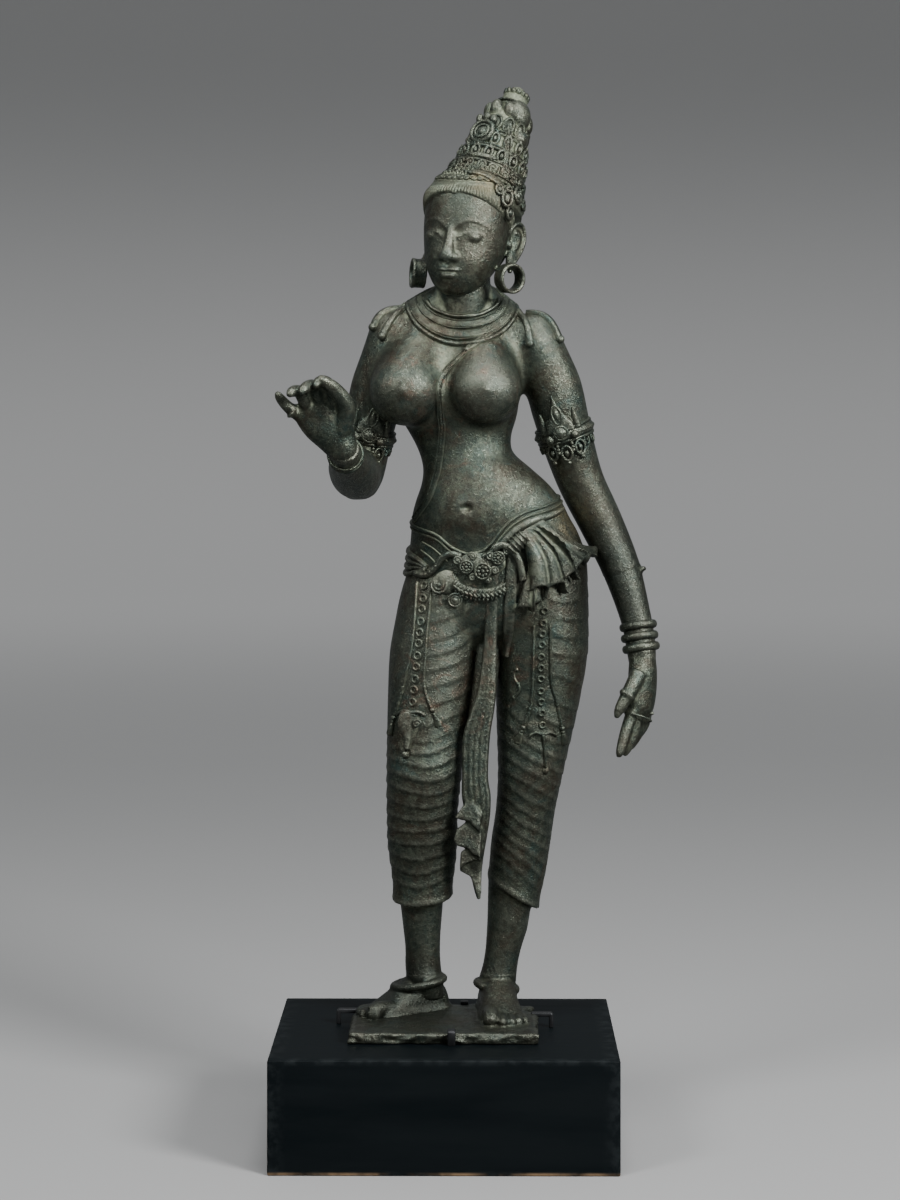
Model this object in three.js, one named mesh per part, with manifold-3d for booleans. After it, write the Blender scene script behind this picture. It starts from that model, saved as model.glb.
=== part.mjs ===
// A bronze goddess standing in a triple-bend pose on her cast base plate, with a tall tiered
// crown, and held by four clips on a painted wooden plinth.
// Millimetres, +Z up, the figure faces -Y, and +X is the viewer's right.
// The origin is the centre of the plinth's underside.

import * as THREE from "three";
import { mergeVertices } from "three/addons/utils/BufferGeometryUtils.js";
import Module from "manifold-3d";

const wasm = await Module();
wasm.setup();

// Driving dimensions.
const STANDING_HEIGHT = 690; // soles to the tip of the crown
const BASE_PLATE_WIDTH = 139;
const BASE_PLATE_DEPTH = 104;
const BASE_PLATE_THICKNESS = 8;
const BASE_PLATE_CHAMFER = 1.5;
const PLINTH_WIDTH = 248;
const PLINTH_DEPTH = 215;
const PLINTH_HEIGHT = 81;
const PLINTH_EDGE = 1.2;
const CLIP_WIDTH = 5;
const CLIP_THICKNESS = 2.5;
const CLIP_OVERLAP = 5; // how far a clip reaches over the base plate
const SIDE_CLIP_STANDOFF = 8; // from the base plate's edge to a side clip's leg
const CLEARANCE = 0.3;

// The figure is free form. Its pose and proportions are shares of its standing height, and
// there are 690 shares in it, so at the real size one share is one millimetre.
const SHARES_IN_HEIGHT = 690;
const SHARE = STANDING_HEIGHT / SHARES_IN_HEIGHT;
// Where the base plate's middle lies under the figure.
const PLATE_CENTRE = new THREE.Vector2(-0.5, -6);

const TURN = 2 * Math.PI;
const BRONZE = new THREE.MeshStandardMaterial({ color: 0x3b3f36, roughness: 0.5, metalness: 0.7 });
const PAINTED_WOOD = new THREE.MeshStandardMaterial({ color: 0x0b1012, roughness: 0.6, metalness: 0 });
const BLACK_STEEL = new THREE.MeshStandardMaterial({ color: 0x15171a, roughness: 0.45, metalness: 0.8 });

const vec = (x, y, z) => new THREE.Vector3(x, y, z);
const mix = THREE.MathUtils.lerp;
const smooth = THREE.MathUtils.smoothstep;

// Solids.

function solidOf(geometry) {
  const bare = geometry.clone();
  bare.deleteAttribute("normal");
  bare.deleteAttribute("uv");
  const merged = mergeVertices(bare, 1e-4);
  const mesh = new wasm.Mesh({
    numProp: 3,
    vertProperties: merged.attributes.position.array,
    triVerts: new Uint32Array(merged.index.array),
  });
  const made = new wasm.Manifold(mesh);
  if (made.volume() > 0) return made;
  const flipped = mesh.triVerts.slice();
  for (let i = 0; i < flipped.length; i += 3) [flipped[i], flipped[i + 1]] = [flipped[i + 1], flipped[i]];
  return new wasm.Manifold(
    new wasm.Mesh({ numProp: 3, vertProperties: mesh.vertProperties, triVerts: flipped }),
  );
}

function joined(solids) {
  return solids.reduce((whole, piece) => whole.add(piece));
}

function geometryOf(solid) {
  const mesh = solid.getMesh();
  const positions = new Float32Array(mesh.numVert * 3);
  for (let i = 0; i < mesh.numVert; i++) {
    positions.set(mesh.vertProperties.subarray(i * mesh.numProp, i * mesh.numProp + 3), i * 3);
  }
  const geometry = new THREE.BufferGeometry();
  geometry.setAttribute("position", new THREE.BufferAttribute(positions, 3));
  geometry.setIndex(new THREE.BufferAttribute(mesh.triVerts, 1));
  geometry.computeVertexNormals();
  return geometry;
}

// Skins closed rings of equal count into a solid. An end closes on the middle of its ring,
// and a closed loop of rings has no ends.
function skin(rings, loop = false) {
  const sides = rings[0].length;
  const positions = rings.flat().flatMap((p) => [p.x, p.y, p.z]);
  const faces = [];
  const spans = loop ? rings.length : rings.length - 1;
  for (let r = 0; r < spans; r++) {
    const next = ((r + 1) % rings.length) * sides;
    for (let s = 0; s < sides; s++) {
      const t = (s + 1) % sides;
      faces.push(r * sides + s, r * sides + t, next + t, r * sides + s, next + t, next + s);
    }
  }
  if (!loop) {
    [0, rings.length - 1].forEach((r, end) => {
      const middle = rings[r].reduce((sum, p) => sum.add(p), vec(0, 0, 0)).divideScalar(sides);
      const hub = positions.length / 3;
      positions.push(middle.x, middle.y, middle.z);
      for (let s = 0; s < sides; s++) {
        const t = (s + 1) % sides;
        if (end) faces.push(r * sides + s, r * sides + t, hub);
        else faces.push(r * sides + t, r * sides + s, hub);
      }
    });
  }
  const geometry = new THREE.BufferGeometry();
  geometry.setAttribute("position", new THREE.Float32BufferAttribute(positions, 3));
  geometry.setIndex(faces);
  return solidOf(geometry);
}

function ball(centre, radii, across = 8, down = 5) {
  const geometry = new THREE.SphereGeometry(1, across, down);
  geometry.scale(radii.x, radii.y, radii.z).translate(centre.x, centre.y, centre.z);
  return solidOf(geometry);
}

// Reads a table whose first column rises or falls steadily, on a smooth curve through its rows.
function smoothRow(rows, at) {
  const rising = rows[1][0] > rows[0][0];
  const last = rows.length - 1;
  let i = 0;
  while (i < last - 1 && (rising ? at > rows[i + 1][0] : at < rows[i + 1][0])) i++;
  const span = rows[i + 1][0] - rows[i][0];
  const t = THREE.MathUtils.clamp((at - rows[i][0]) / span, 0, 1);
  const slope = (k, c) => {
    const a = rows[Math.max(k - 1, 0)];
    const b = rows[Math.min(k + 1, last)];
    return ((b[c] - a[c]) / (b[0] - a[0])) * span;
  };
  return rows[0].map((_, c) => {
    if (c === 0) return at;
    const [t2, t3] = [t * t, t * t * t];
    return (
      (2 * t3 - 3 * t2 + 1) * rows[i][c] +
      (t3 - 2 * t2 + t) * slope(i, c) +
      (3 * t2 - 2 * t3) * rows[i + 1][c] +
      (t3 - t2) * slope(i + 1, c)
    );
  });
}

// A form with level sections. Each row is height, middle x, middle y, half width, depth in
// front of the middle and depth behind it. Angle 0 is the viewer's right, and the front is
// at a quarter turn.
class Form {
  constructor(rows) {
    this.rows = rows;
  }
  at(height, angle, proud = 0) {
    const [, x, y, halfWidth, front, back] = smoothRow(this.rows, height);
    const [c, s] = [Math.cos(angle), Math.sin(angle)];
    return vec(x + (halfWidth + proud) * c, y - ((s > 0 ? front : back) + proud) * s, height);
  }
  front(x, height, proud = 0) {
    const [, middleX, y, halfWidth, front] = smoothRow(this.rows, height);
    const share = THREE.MathUtils.clamp((x - middleX) / (halfWidth + proud), -0.98, 0.98);
    return vec(x, y - (front + proud) * Math.sqrt(1 - share * share), height);
  }
  // A height is a number, or a pair of a height and how proud the form stands there.
  solid(heights, sides) {
    const pairs = heights.map((h) => [h].flat());
    return skin(pairs.map(([h, proud = 0]) => circle(sides).map((angle) => this.at(h, angle, proud))));
  }
}

const circle = (sides) => Array.from({ length: sides }, (_, i) => (i / sides) * TURN);
const steps = (from, to, count) =>
  Array.from({ length: count + 1 }, (_, i) => mix(from, to, i / count));

// A round limb through stations of [x, y, z, half width, half depth]. Half width lies along
// the across direction.
function limb(stations, sides, across = vec(1, 0, 0)) {
  const path = new THREE.CatmullRomCurve3(stations.map((s) => vec(s[0], s[1], s[2])));
  return skin(
    stations.map(([x, y, z, wide, deep = wide], i) => {
      const centre = vec(x, y, z);
      const along = path.getTangent(i / (stations.length - 1));
      const side = across.clone().addScaledVector(along, -across.dot(along)).normalize();
      const depth = vec(0, 0, 0).crossVectors(along, side);
      return circle(sides).map((a) =>
        centre
          .clone()
          .addScaledVector(side, wide * Math.cos(a))
          .addScaledVector(depth, deep * Math.sin(a)),
      );
    }),
  );
}

// A cord of even thickness through points.
function cord(points, radius, sides = 4) {
  return limb(
    points.map((p) => [p.x, p.y, p.z, radius, radius]),
    sides,
    vec(0.3, 0.2, 1),
  );
}

// A moulding that runs round a form. Each course is [height at an angle, how proud it is], and
// its two ends lie inside the form.
function moulding(form, courses, count) {
  return skin(courses.map(([heightAt, proud]) => circle(count).map((a) => form.at(heightAt(a), a, proud))));
}

// A round ring about an axis through a centre.
function roundRing(centre, axis, radius, wide, proud, count) {
  const up = axis.clone().normalize();
  const side = vec(0, 0, 0).crossVectors(up, vec(0, 1, 0.01)).normalize();
  const other = vec(0, 0, 0).crossVectors(up, side);
  const around = (a, out, along) =>
    centre
      .clone()
      .addScaledVector(side, out * Math.cos(a))
      .addScaledVector(other, out * Math.sin(a))
      .addScaledVector(up, along);
  const rings = circle(count).map((a) => [
    around(a, radius - proud, 0),
    around(a, radius, wide),
    around(a, radius + proud, 0),
    around(a, radius, -wide),
  ]);
  return skin(rings, true);
}

// The body.

const TORSO = new Form([
  [286, 35, 18, 64, 32, 40],
  [298, 35, 18, 71, 37, 44],
  [322, 38, 18, 68, 40, 45],
  [340, 38.6, 16, 65.8, 39, 41],
  [357, 36.5, 13, 62, 37, 35],
  [369, 33.5, 11, 58.3, 36, 29],
  [381, 32, 9, 53.9, 34, 27],
  [393, 29.5, 8, 47.3, 31, 26],
  [405, 23.5, 8, 40, 28, 26],
  [417, 15.3, 9, 34.9, 26, 25],
  [429, 11.7, 10, 37.3, 27, 26],
  [441, 9.8, 11, 42.7, 30, 27],
  [456, 6.5, 12, 49, 34, 28],
  [476, 7, 13, 53, 34, 29],
  [493, 10, 14, 54, 29, 28],
  [505, 13, 14, 54, 25, 25],
  [514, 12, 13.5, 52, 21, 22],
  [521, 11, 13, 45.5, 18, 20],
  [528, 11, 12, 37, 17, 19],
  [536, 12.5, 10, 26, 17, 18],
  [544, 14, 8, 20, 17, 18],
  [556, 14, 5, 19.5, 17, 18],
]);
const BREASTS = [
  { centre: vec(-28.5, -18, 464), radii: vec(29, 29, 28.5) },
  { centre: vec(29, -19, 464), radii: vec(29, 29, 28.5) },
];
const SHOULDERS = [
  { centre: vec(-37, 13, 502), radii: vec(22, 21, 21) },
  { centre: vec(65, 13, 499), radii: vec(22.5, 21, 21) },
];
const BUTTOCKS = [
  { centre: vec(8, 38, 302), radii: vec(29, 25, 28) },
  { centre: vec(64, 38, 305), radii: vec(31, 26, 29) },
];

function torso() {
  const heights = [286, 300, 322, 345, 366, 386, 402, 417, 434, 460, 486, 505, 514, 521, 528, 536, 544, 556];
  return joined([
    TORSO.solid(heights, 14),
    ...BREASTS.map(({ centre, radii }) => ball(centre, radii, 10, 6)),
    ...[...SHOULDERS, ...BUTTOCKS].map(({ centre, radii }) => ball(centre, radii)),
  ]);
}

// The chest's skin seen from the front, breasts and shoulders included.
function chest(x, height, proud) {
  const skinPoint = TORSO.front(x, height, proud);
  [...BREASTS, ...SHOULDERS].forEach(({ centre, radii }) => {
    const off = 1 - ((x - centre.x) / radii.x) ** 2 - ((height - centre.z) / radii.z) ** 2;
    if (off > 0) skinPoint.y = Math.min(skinPoint.y, centre.y - radii.y * Math.sqrt(off) - proud);
  });
  return skinPoint;
}

// The legs, wrapped in a thin cloth whose folds run round them.

const RIGHT_LEG = new Form([
  [322, 2, 18, 33, 36, 38],
  [298, -3, 18, 33.5, 36, 38],
  [269, -7.8, 16, 33.5, 34, 35],
  [238, -10.7, 13, 32, 31, 32],
  [209, -13.6, 9, 29.6, 28.5, 29],
  [180, -15.6, 6, 27.9, 27, 26],
  [152, -17, 8, 26.4, 23.5, 28],
  [125, -17, 12, 25.7, 22, 27],
  [102, -16.7, 15, 23, 20, 23],
  [80, -17.8, 17, 20, 18.5, 20],
]);
const LEFT_LEG = new Form([
  [322, 70, 18, 36, 36, 38],
  [298, 72.9, 18, 33.9, 36, 38],
  [269, 71.8, 17, 34.2, 34, 36],
  [238, 69.2, 16, 31.6, 31, 33],
  [209, 66.3, 14, 28, 28, 29],
  [180, 63.3, 13, 24.2, 25, 25],
  [152, 59.6, 16, 22, 22, 26],
  [125, 55.8, 19, 22, 21, 25],
  [102, 53.3, 21, 20.9, 19, 22],
  [76, 49.5, 22, 18.2, 17.5, 19],
]);
const RIGHT_SHANK = new Form([
  [92, -17.9, 17, 17.4, 16, 18],
  [62, -17.4, 20, 14.1, 13.5, 15.5],
  [47, -17, 21, 13, 12.5, 14.5],
  [35, -16.8, 22, 13.3, 13, 14.5],
  [24, -15.5, 22, 13.5, 14, 14],
  [8, -13, 24, 13, 13, 13],
]);
const LEFT_SHANK = new Form([
  [104, 50, 21, 18, 16, 18],
  [72, 47, 22, 15.8, 14.5, 17],
  [62, 46, 23, 15.2, 14, 16],
  [47, 43.2, 24, 13.4, 13, 15],
  [35, 41, 25, 13, 13, 15],
  [24, 39, 26, 13.8, 14, 15],
  [8, 38, 28, 13, 13, 13],
]);
const FOLD_PITCH = 22;
const FOLD_RISE = 1.5; // how far a fold's lower edge stands off the fold below

// The cloth on one leg, from the hip down to its hem. Each fold is a band that steps out
// along its lower edge, and slope is the bands' rise towards the viewer's right.
function wrappedLeg(form, hem, slopeAt) {
  const folds = Math.round((form.rows[0][0] - hem) / FOLD_PITCH);
  const rings = [];
  for (let f = 0; f <= folds; f++) {
    const height = mix(hem, form.rows[0][0], f / folds);
    const [, middle] = smoothRow(form.rows, height);
    const slope = slopeAt(height);
    const ring = (level, proud) =>
      circle(11).map((angle) => {
        const drop = slope * (form.at(level, angle).x - middle);
        const lowest = form.rows[form.rows.length - 1][0] - 12;
        const point = form.at(Math.max(level + drop, lowest), angle, proud);
        point.z = level + drop;
        return point;
      });
    if (f > 0) rings.push(ring(height - 0.8, 0));
    if (f < folds) rings.push(ring(height, FOLD_RISE));
  }
  return skin(rings);
}

// An anklet is a swelling of the shank.
const anklet = (height) => [
  [height + 5, 0.2],
  [height + 3, 3],
  [height - 1, 3],
  [height - 3, 0.2],
];

function legs() {
  return joined([
    wrappedLeg(RIGHT_LEG, 82, (h) => mix(0.1, 0.4, smooth(h, 90, 240))),
    wrappedLeg(LEFT_LEG, 84, (h) => -mix(0.75, 0.2, smooth(h, 110, 260))),
    RIGHT_SHANK.solid([92, 62, 40, ...anklet(22), 8], 10),
    LEFT_SHANK.solid([104, 74, 40, ...anklet(22), 8], 10),
  ]);
}

// The feet stand on the base plate. A foot is lofted from heel to ball along its own axis, and
// it is as long as the way from its heel to its toes asks. The right foot's toes keep their
// distance from the plate's side.

const TOE_SETBACK = 14;
const FULL_FOOT = 71.4; // heel to toes in a foot of full length, in shares
const rightToes = (PLATE_CENTRE.x - BASE_PLATE_WIDTH / 2 + TOE_SETBACK) / SHARE;
const FEET = [
  { heel: vec(-1, 37, 0), toes: vec(rightToes, 1, 0), inner: 1 },
  { heel: vec(36.5, 47, 0), toes: vec(43.5, -24, 0), inner: -1 },
];
// Along the foot from the heel, half width, and height of the instep, all as foot shares.
const FOOT_SECTIONS = [
  [0, 7, 11],
  [7, 11.8, 21],
  [26, 13.2, 30],
  [41, 14.7, 21],
  [57, 17.4, 13],
  [69, 15.5, 7.5],
];
// Across the foot from the big toe: how far each toe, and each cleft between two toes, reaches.
const TOE_ROW = [
  [17.5, 2, 4],
  [15, 13, 10],
  [8.5, 13, 10],
  [6.2, 3, 6],
  [3, 12, 8],
  [-1.8, 3, 5],
  [-4.6, 9, 7.4],
  [-7.8, 1.5, 4.6],
  [-10.2, 6, 6.6],
  [-12.8, 0, 4.4],
  [-15, 3, 5.8],
  [-17.4, -3, 3],
];

function foot({ heel, toes, inner }) {
  const along = toes.clone().sub(heel).normalize();
  const length = heel.distanceTo(toes) / FULL_FOOT;
  const side = vec(0, 0, 0).crossVectors(vec(0, 0, 1), along).multiplyScalar(inner);
  const place = (far, across, up) =>
    heel.clone().addScaledVector(along, far * length).addScaledVector(side, across).setZ(up);
  const rings = FOOT_SECTIONS.map(([far, half, high]) =>
    circle(8).map((a) => {
      const up = Math.sin(a + TURN / 16);
      return place(far, half * 1.06 * Math.cos(a + TURN / 16), up > 0 ? 2 + (high - 2) * up : 2 + 4 * up);
    }),
  );
  const toeRow = TOE_ROW.map(([across, reach, high]) => [
    place(60, across * 0.9, -2),
    place(60, across * 0.9, high),
    place(67 + reach * 0.55, across, high),
    place(68 + reach, across, high * 0.45),
    place(67 + reach * 0.9, across, -2),
  ]);
  return joined([skin(rings), skin(toeRow)]);
}

// The arms. The figure's right arm, at the viewer's left, is bent with the hand raised, and
// the left arm hangs. The bangles at the wrists are swellings of the forearms.

const RIGHT_UPPER_ARM = [
  [-37, 13, 505, 20],
  [-49, 15, 468, 20.5],
  [-58, 20, 430, 18.8],
  [-64, 25, 400, 18],
  [-65, 26, 386, 13],
  [-65, 26, 381, 6],
];
const RIGHT_FOREARM = [
  [-64, 32, 399, 14],
  [-66, 14, 400, 18.5],
  [-68, -10, 405, 17.8],
  [-70, -38, 410.5, 14],
  [-70.9, -56, 415, 11.9],
  [-70.9, -58, 415.5, 13.8],
  [-71, -60.5, 416.2, 11.7],
  [-71, -63, 416.9, 13.6],
  [-71, -65, 417.5, 11.4],
  [-71, -72, 420, 11],
];
const LEFT_ARM = [
  [64, 13, 505, 20],
  [79, 15, 468, 21.3],
  [90, 19, 428, 19.4],
  [100.5, 23, 396, 17.6],
  [115, 25, 366, 16.5],
  [130, 20, 332, 14.5],
  [140.5, 13.5, 297, 11.8],
  [142.5, 12, 290.5, 11.4],
  [143, 11.6, 288, 14],
  [143.6, 11.2, 283.5, 11.8],
  [144, 10.6, 280, 13.8],
  [144.6, 10.2, 275.5, 11.6],
  [145, 9.6, 272, 13.6],
  [145.6, 8.8, 268.5, 10.6],
  [146, 8, 262, 10.2],
];

function arms() {
  return joined([RIGHT_UPPER_ARM, RIGHT_FOREARM, LEFT_ARM].map((stations) => limb(stations, 10)));
}

// A finger, thumb or toe through [x, y, z, radius], with a rounded tip.
const finger = (stations) => limb(stations, 5, vec(0.2, 1, 0.1));

const RAISED_PALM = [
  [-72, -70, 418, 10.5, 9.5],
  [-78, -73, 430, 14.5, 9.5],
  [-85, -75, 441, 18, 9],
  [-89.5, -76, 451, 19.5, 8],
  [-91, -76.5, 456, 18, 6],
];
const RAISED_FINGERS = [
  [
    [-78, -77, 453, 5.2],
    [-82, -86, 466, 4.8],
    [-88, -97, 468, 4],
    [-90.5, -101.5, 464, 2],
  ],
  [
    [-87, -77, 453, 5.2],
    [-92, -87, 464.5, 4.7],
    [-98, -98, 463.5, 4],
    [-100.5, -102, 459.5, 2],
  ],
  [
    [-96, -77, 450, 5],
    [-102, -87, 460.5, 4.5],
    [-107, -97, 461, 3.8],
    [-109, -101, 458, 2],
  ],
  [
    [-103, -76, 445, 4.6],
    [-110.5, -80, 450, 4.1],
    [-116.5, -85, 457, 3.3],
    [-118.5, -87, 461, 1.6],
  ],
  [
    [-73, -76, 434, 6.7],
    [-69.5, -84, 450, 6.3],
    [-77, -93, 463, 4.9],
    [-86.5, -99, 470, 3.2],
    [-88.5, -100, 471.5, 1.4],
  ],
];
const HANGING_PALM = [
  [146, 8, 266, 10.3, 10],
  [146, 6, 254, 11.5, 10.5],
  [145.5, 4, 240, 12, 10],
  [144, 2, 228, 11, 8.5],
  [142, 1, 221, 9, 6],
];
const HANGING_FINGERS = [
  [
    [139, -2, 228, 4.8],
    [132.5, -7, 210, 4.3],
    [128.4, -10, 197, 3.1],
    [127.2, -10.5, 193, 1.3],
  ],
  [
    [143, 0, 227, 5],
    [138.3, -2.5, 209, 4.5],
    [133, -4.8, 197, 3.1],
    [131.8, -5, 193.5, 1.3],
  ],
  [
    [147, 4, 227, 4.8],
    [143.2, 2.6, 212, 4.3],
    [137.6, 0.4, 201, 3],
    [136.2, 0, 197.5, 1.3],
  ],
  [
    [149.5, 8, 227, 4.4],
    [147.4, 7.7, 216, 3.9],
    [142.8, 6.2, 207, 2.7],
    [141.4, 6, 203.5, 1.2],
  ],
  [
    [142, -2, 252, 6.2],
    [134.8, -8.2, 240, 5.2],
    [127.8, -11.5, 228, 3.6],
    [125.6, -12.5, 222, 1.5],
  ],
];

function hands() {
  return joined([
    limb(RAISED_PALM, 8, vec(0.95, 0, 0.3)),
    limb(HANGING_PALM, 8, vec(0.7, 0.7, 0)),
    ...[...RAISED_FINGERS, ...HANGING_FINGERS].map(finger),
  ]);
}

// The head, in its own frame: the face looks along -Y, and the middle of the eyes is level
// with the origin. The face is an ideal one on equal thirds from hairline to chin.

const HEAD_PLACE = vec(16, 2, 580);
const HEAD_TURN = THREE.MathUtils.degToRad(-22);
const HEAD_ROLL = THREE.MathUtils.degToRad(4);
const FACE_THIRD = 25; // hairline to brow, brow to nose base, nose base to chin
const CHIN_HEIGHT = -48;
const EYE_SPACING = 13.5;
const HEAD = new Form([
  [-48, 0, -17, 6, 6, 6],
  [-45, 0, -15, 12.5, 12.5, 12],
  [-38, 0, -11, 19.5, 19.5, 18],
  [-26, 0, -6, 26.5, 26, 25],
  [-12, 0, -1, 30.5, 31, 30],
  [2, 0, 0, 32, 32, 34],
  [16, 0, 1, 32, 32.5, 35],
  [28, 0, 2, 31, 31, 35],
  [38, 0, 3, 27, 25, 31],
  [46, 0, 4, 17, 15, 21],
]);

const headMatrix = new THREE.Matrix4().compose(
  HEAD_PLACE,
  new THREE.Quaternion().setFromEuler(new THREE.Euler(0, HEAD_ROLL, HEAD_TURN, "ZYX")),
  vec(1, 1, 1),
);

function face() {
  const noseBase = CHIN_HEIGHT + FACE_THIRD;
  const brow = noseBase + FACE_THIRD;
  const mouth = noseBase - FACE_THIRD / 3;
  const nose = limb(
    [
      [0, -30.5, brow + 1, 3, 2],
      [0, -33, mix(noseBase, brow, 0.6), 3, 3],
      [0, -36.5, mix(noseBase, brow, 0.25), 4.4, 4.2],
      [0, -36.5, noseBase + 2, 6.2, 4.6],
      [0, -33, noseBase - 1, 5, 3],
    ],
    6,
  );
  const lips = ball(vec(0, -28, mouth), vec(7.4, 4.4, 3), 6, 4);
  const eyes = [-1, 1].map((side) =>
    ball(HEAD.front(side * EYE_SPACING, brow - 6, -2.2), vec(6, 3.6, 2.6), 6, 3),
  );
  return [nose, lips, ...eyes];
}

// A ring worn in a stretched ear lobe. Its axis is turned outwards from the face.
const EARRING_RADIUS = 9.2;
const EARRING_TURN = THREE.MathUtils.degToRad(59);

function earWithRing(side) {
  const ear = limb(
    [
      [side * 28, 13, 11, 5, 4],
      [side * 32.5, 17, 3, 8.5, 4.5],
      [side * 32, 15, -8, 8, 4.5],
      [side * 32.5, 8, -18, 5, 4],
      [side * 35, 1, -25, 3, 3],
    ],
    6,
  );
  const axis = vec(side * Math.sin(EARRING_TURN), -Math.cos(EARRING_TURN), 0);
  const ring = roundRing(vec(side * 36.5, -1, -33), axis, EARRING_RADIUS, 4.4, 2.2, 10);
  return joined([ear, ring]);
}

function head() {
  const heights = [-48, -44.5, -38, -26, -12, 4, 20, 34, 46];
  const upright = joined([HEAD.solid(heights, 12), ...face(), earWithRing(-1), earWithRing(1)]);
  return upright.transform(headMatrix.elements);
}

// The crown leans back from the brow. Rows are distance along its axis and radius.

const CROWN_FOOT = vec(22.5, 8, 599);
const CROWN_TIP = vec(55, 38, SHARES_IN_HEIGHT);
const CROWN_PROFILE = [
  [0, 36],
  [0.04, 37.5],
  [0.12, 34],
  [0.13, 32],
  [0.24, 29.8],
  [0.25, 28],
  [0.37, 26.4],
  [0.38, 24.4],
  [0.5, 23],
  [0.51, 20.5],
  [0.58, 21.5],
  [0.7, 19],
  [0.8, 15],
  [0.83, 12],
  [0.89, 11.5],
  [0.95, 8],
  [1, 2.5],
];

const crownAxis = CROWN_TIP.clone().sub(CROWN_FOOT);
const crownUp = crownAxis.clone().normalize();
// The crown's front is where the face looks.
const crownFront = vec(Math.sin(HEAD_TURN), -Math.cos(HEAD_TURN), 0)
  .addScaledVector(crownUp, -crownUp.dot(vec(Math.sin(HEAD_TURN), -Math.cos(HEAD_TURN), 0)))
  .normalize();
const crownSide = vec(0, 0, 0).crossVectors(crownFront, crownUp);

function onCrown(share, radius, angle) {
  return CROWN_FOOT.clone()
    .addScaledVector(crownAxis, share)
    .addScaledVector(crownFront, radius * Math.cos(angle))
    .addScaledVector(crownSide, radius * Math.sin(angle));
}

function crownRadius(share) {
  const above = CROWN_PROFILE.findIndex(([s]) => s >= share);
  const [[s0, r0], [s1, r1]] = [CROWN_PROFILE[Math.max(above - 1, 0)], CROWN_PROFILE[Math.max(above, 1)]];
  return mix(r0, r1, (share - s0) / (s1 - s0));
}

function crown() {
  const body = skin(
    CROWN_PROFILE.map(([share, radius]) => circle(14).map((a) => onCrown(share, radius, a))),
  );
  // Bosses set round each tier, the front one the largest.
  const bosses = [
    { share: 0.2, count: 5, radius: 5 },
    { share: 0.35, count: 3, radius: 4.4 },
  ].flatMap(({ share, count, radius }) =>
    Array.from({ length: count }, (_, i) => {
      const angle = (i / count) * TURN;
      const size = i === 0 ? radius * 1.4 : radius;
      return ball(onCrown(share, crownRadius(share) - 1, angle), vec(size, size, size), 5, 3);
    }),
  );
  return joined([body, ...bosses]);
}

// Jewellery and dress.

// The collar: three graded necklaces that lie on the chest in front and climb to the nape.
function collar() {
  const lying = (front, back) => (a) => mix(back, front, (1 + Math.sin(a)) / 2);
  const courses = [
    [lying(492.5, 516), -4],
    [lying(493.5, 517), 3.4],
    [lying(500, 520), 3.6],
    [lying(502, 521.5), 1],
    [lying(504, 522.5), 3],
    [lying(510, 525.5), 3.2],
    [lying(512, 527), 1],
    [lying(514, 528.5), 2.6],
    [lying(519, 532), 2.6],
    [lying(521, 533.5), -4],
  ];
  return moulding(TORSO, courses, 14);
}

// Two ribbons with weighted ends hang from the collar over each shoulder.
function shoulderRibbons() {
  const ribbons = [
    [-25, 517, -31, 507, -35, 493],
    [-34, 520, -45, 513, -52, 500],
    [52, 516, 58, 506, 62, 492],
    [62, 518, 73, 511, 80, 499],
  ];
  return ribbons.map(([x0, z0, x1, z1, x2, z2]) =>
    limb(
      [chest(x0, z0, -0.5), chest(x1, z1, 0.5), chest(x2, z2, 0.5)].map((p, i) => [
        p.x,
        p.y,
        p.z,
        i === 2 ? 3.4 : 2.6,
        2.6,
      ]),
      4,
    ),
  );
}

// The sacred thread runs from the left shoulder between the breasts to the right hip.
function sacredThread() {
  const route = [
    [44, 506],
    [30, 498],
    [13, 491],
    [1, 477],
    [-6, 460],
    [-5.5, 444],
    [-3, 425],
    [-5.5, 404],
    [-12, 383],
    [-24, 365],
  ];
  return cord(route.map(([x, height]) => chest(x, height, 0.2)), 2.1, 3);
}

// An armlet: a band that rises to a tall crest on the arm's outer front and drops to a leaf
// below it. Its courses are measured along the arm's axis.
const CREST_ANGLES = [0, 0.3, 0.62, 1, 1.7, 2.6, 3.5, 4.4, 5.28, 5.66, 5.98];

function armlet(centre, axis, out, radius) {
  const up = axis.clone().normalize();
  const front = out.clone().addScaledVector(up, -out.dot(up)).normalize();
  const side = vec(0, 0, 0).crossVectors(up, front);
  const peak = (a) => Math.max(Math.cos(a), 0) ** 6;
  const courses = [
    [(a) => -3.5 - 14 * peak(a), -4],
    [(a) => -3.5 - 13 * peak(a), 1.4],
    [(a) => -3 - 2 * peak(a), 2.6],
    [(a) => 3 + 2 * peak(a), 3],
    [(a) => 3.5 + 23 * peak(a), 1.8],
    [(a) => 3.5 + 24 * peak(a), -4],
  ];
  const rings = courses.map(([heightAt, proud]) =>
    CREST_ANGLES.map((a) =>
      centre
        .clone()
        .addScaledVector(up, heightAt(a))
        .addScaledVector(front, (radius + proud) * Math.cos(a))
        .addScaledVector(side, (radius + proud) * Math.sin(a)),
    ),
  );
  const knop = centre.clone().addScaledVector(front, radius + 2.5);
  return joined([skin(rings), ball(knop, vec(5, 5, 5), 6, 4)]);
}

function armlets() {
  return [
    armlet(vec(-58, 20, 430), vec(0.24, -0.12, 1), vec(0.1, -1, 0), 19),
    armlet(vec(88.5, 18, 432), vec(-0.28, -0.12, 1), vec(-0.15, -1, 0), 19.8),
  ];
}

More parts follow.
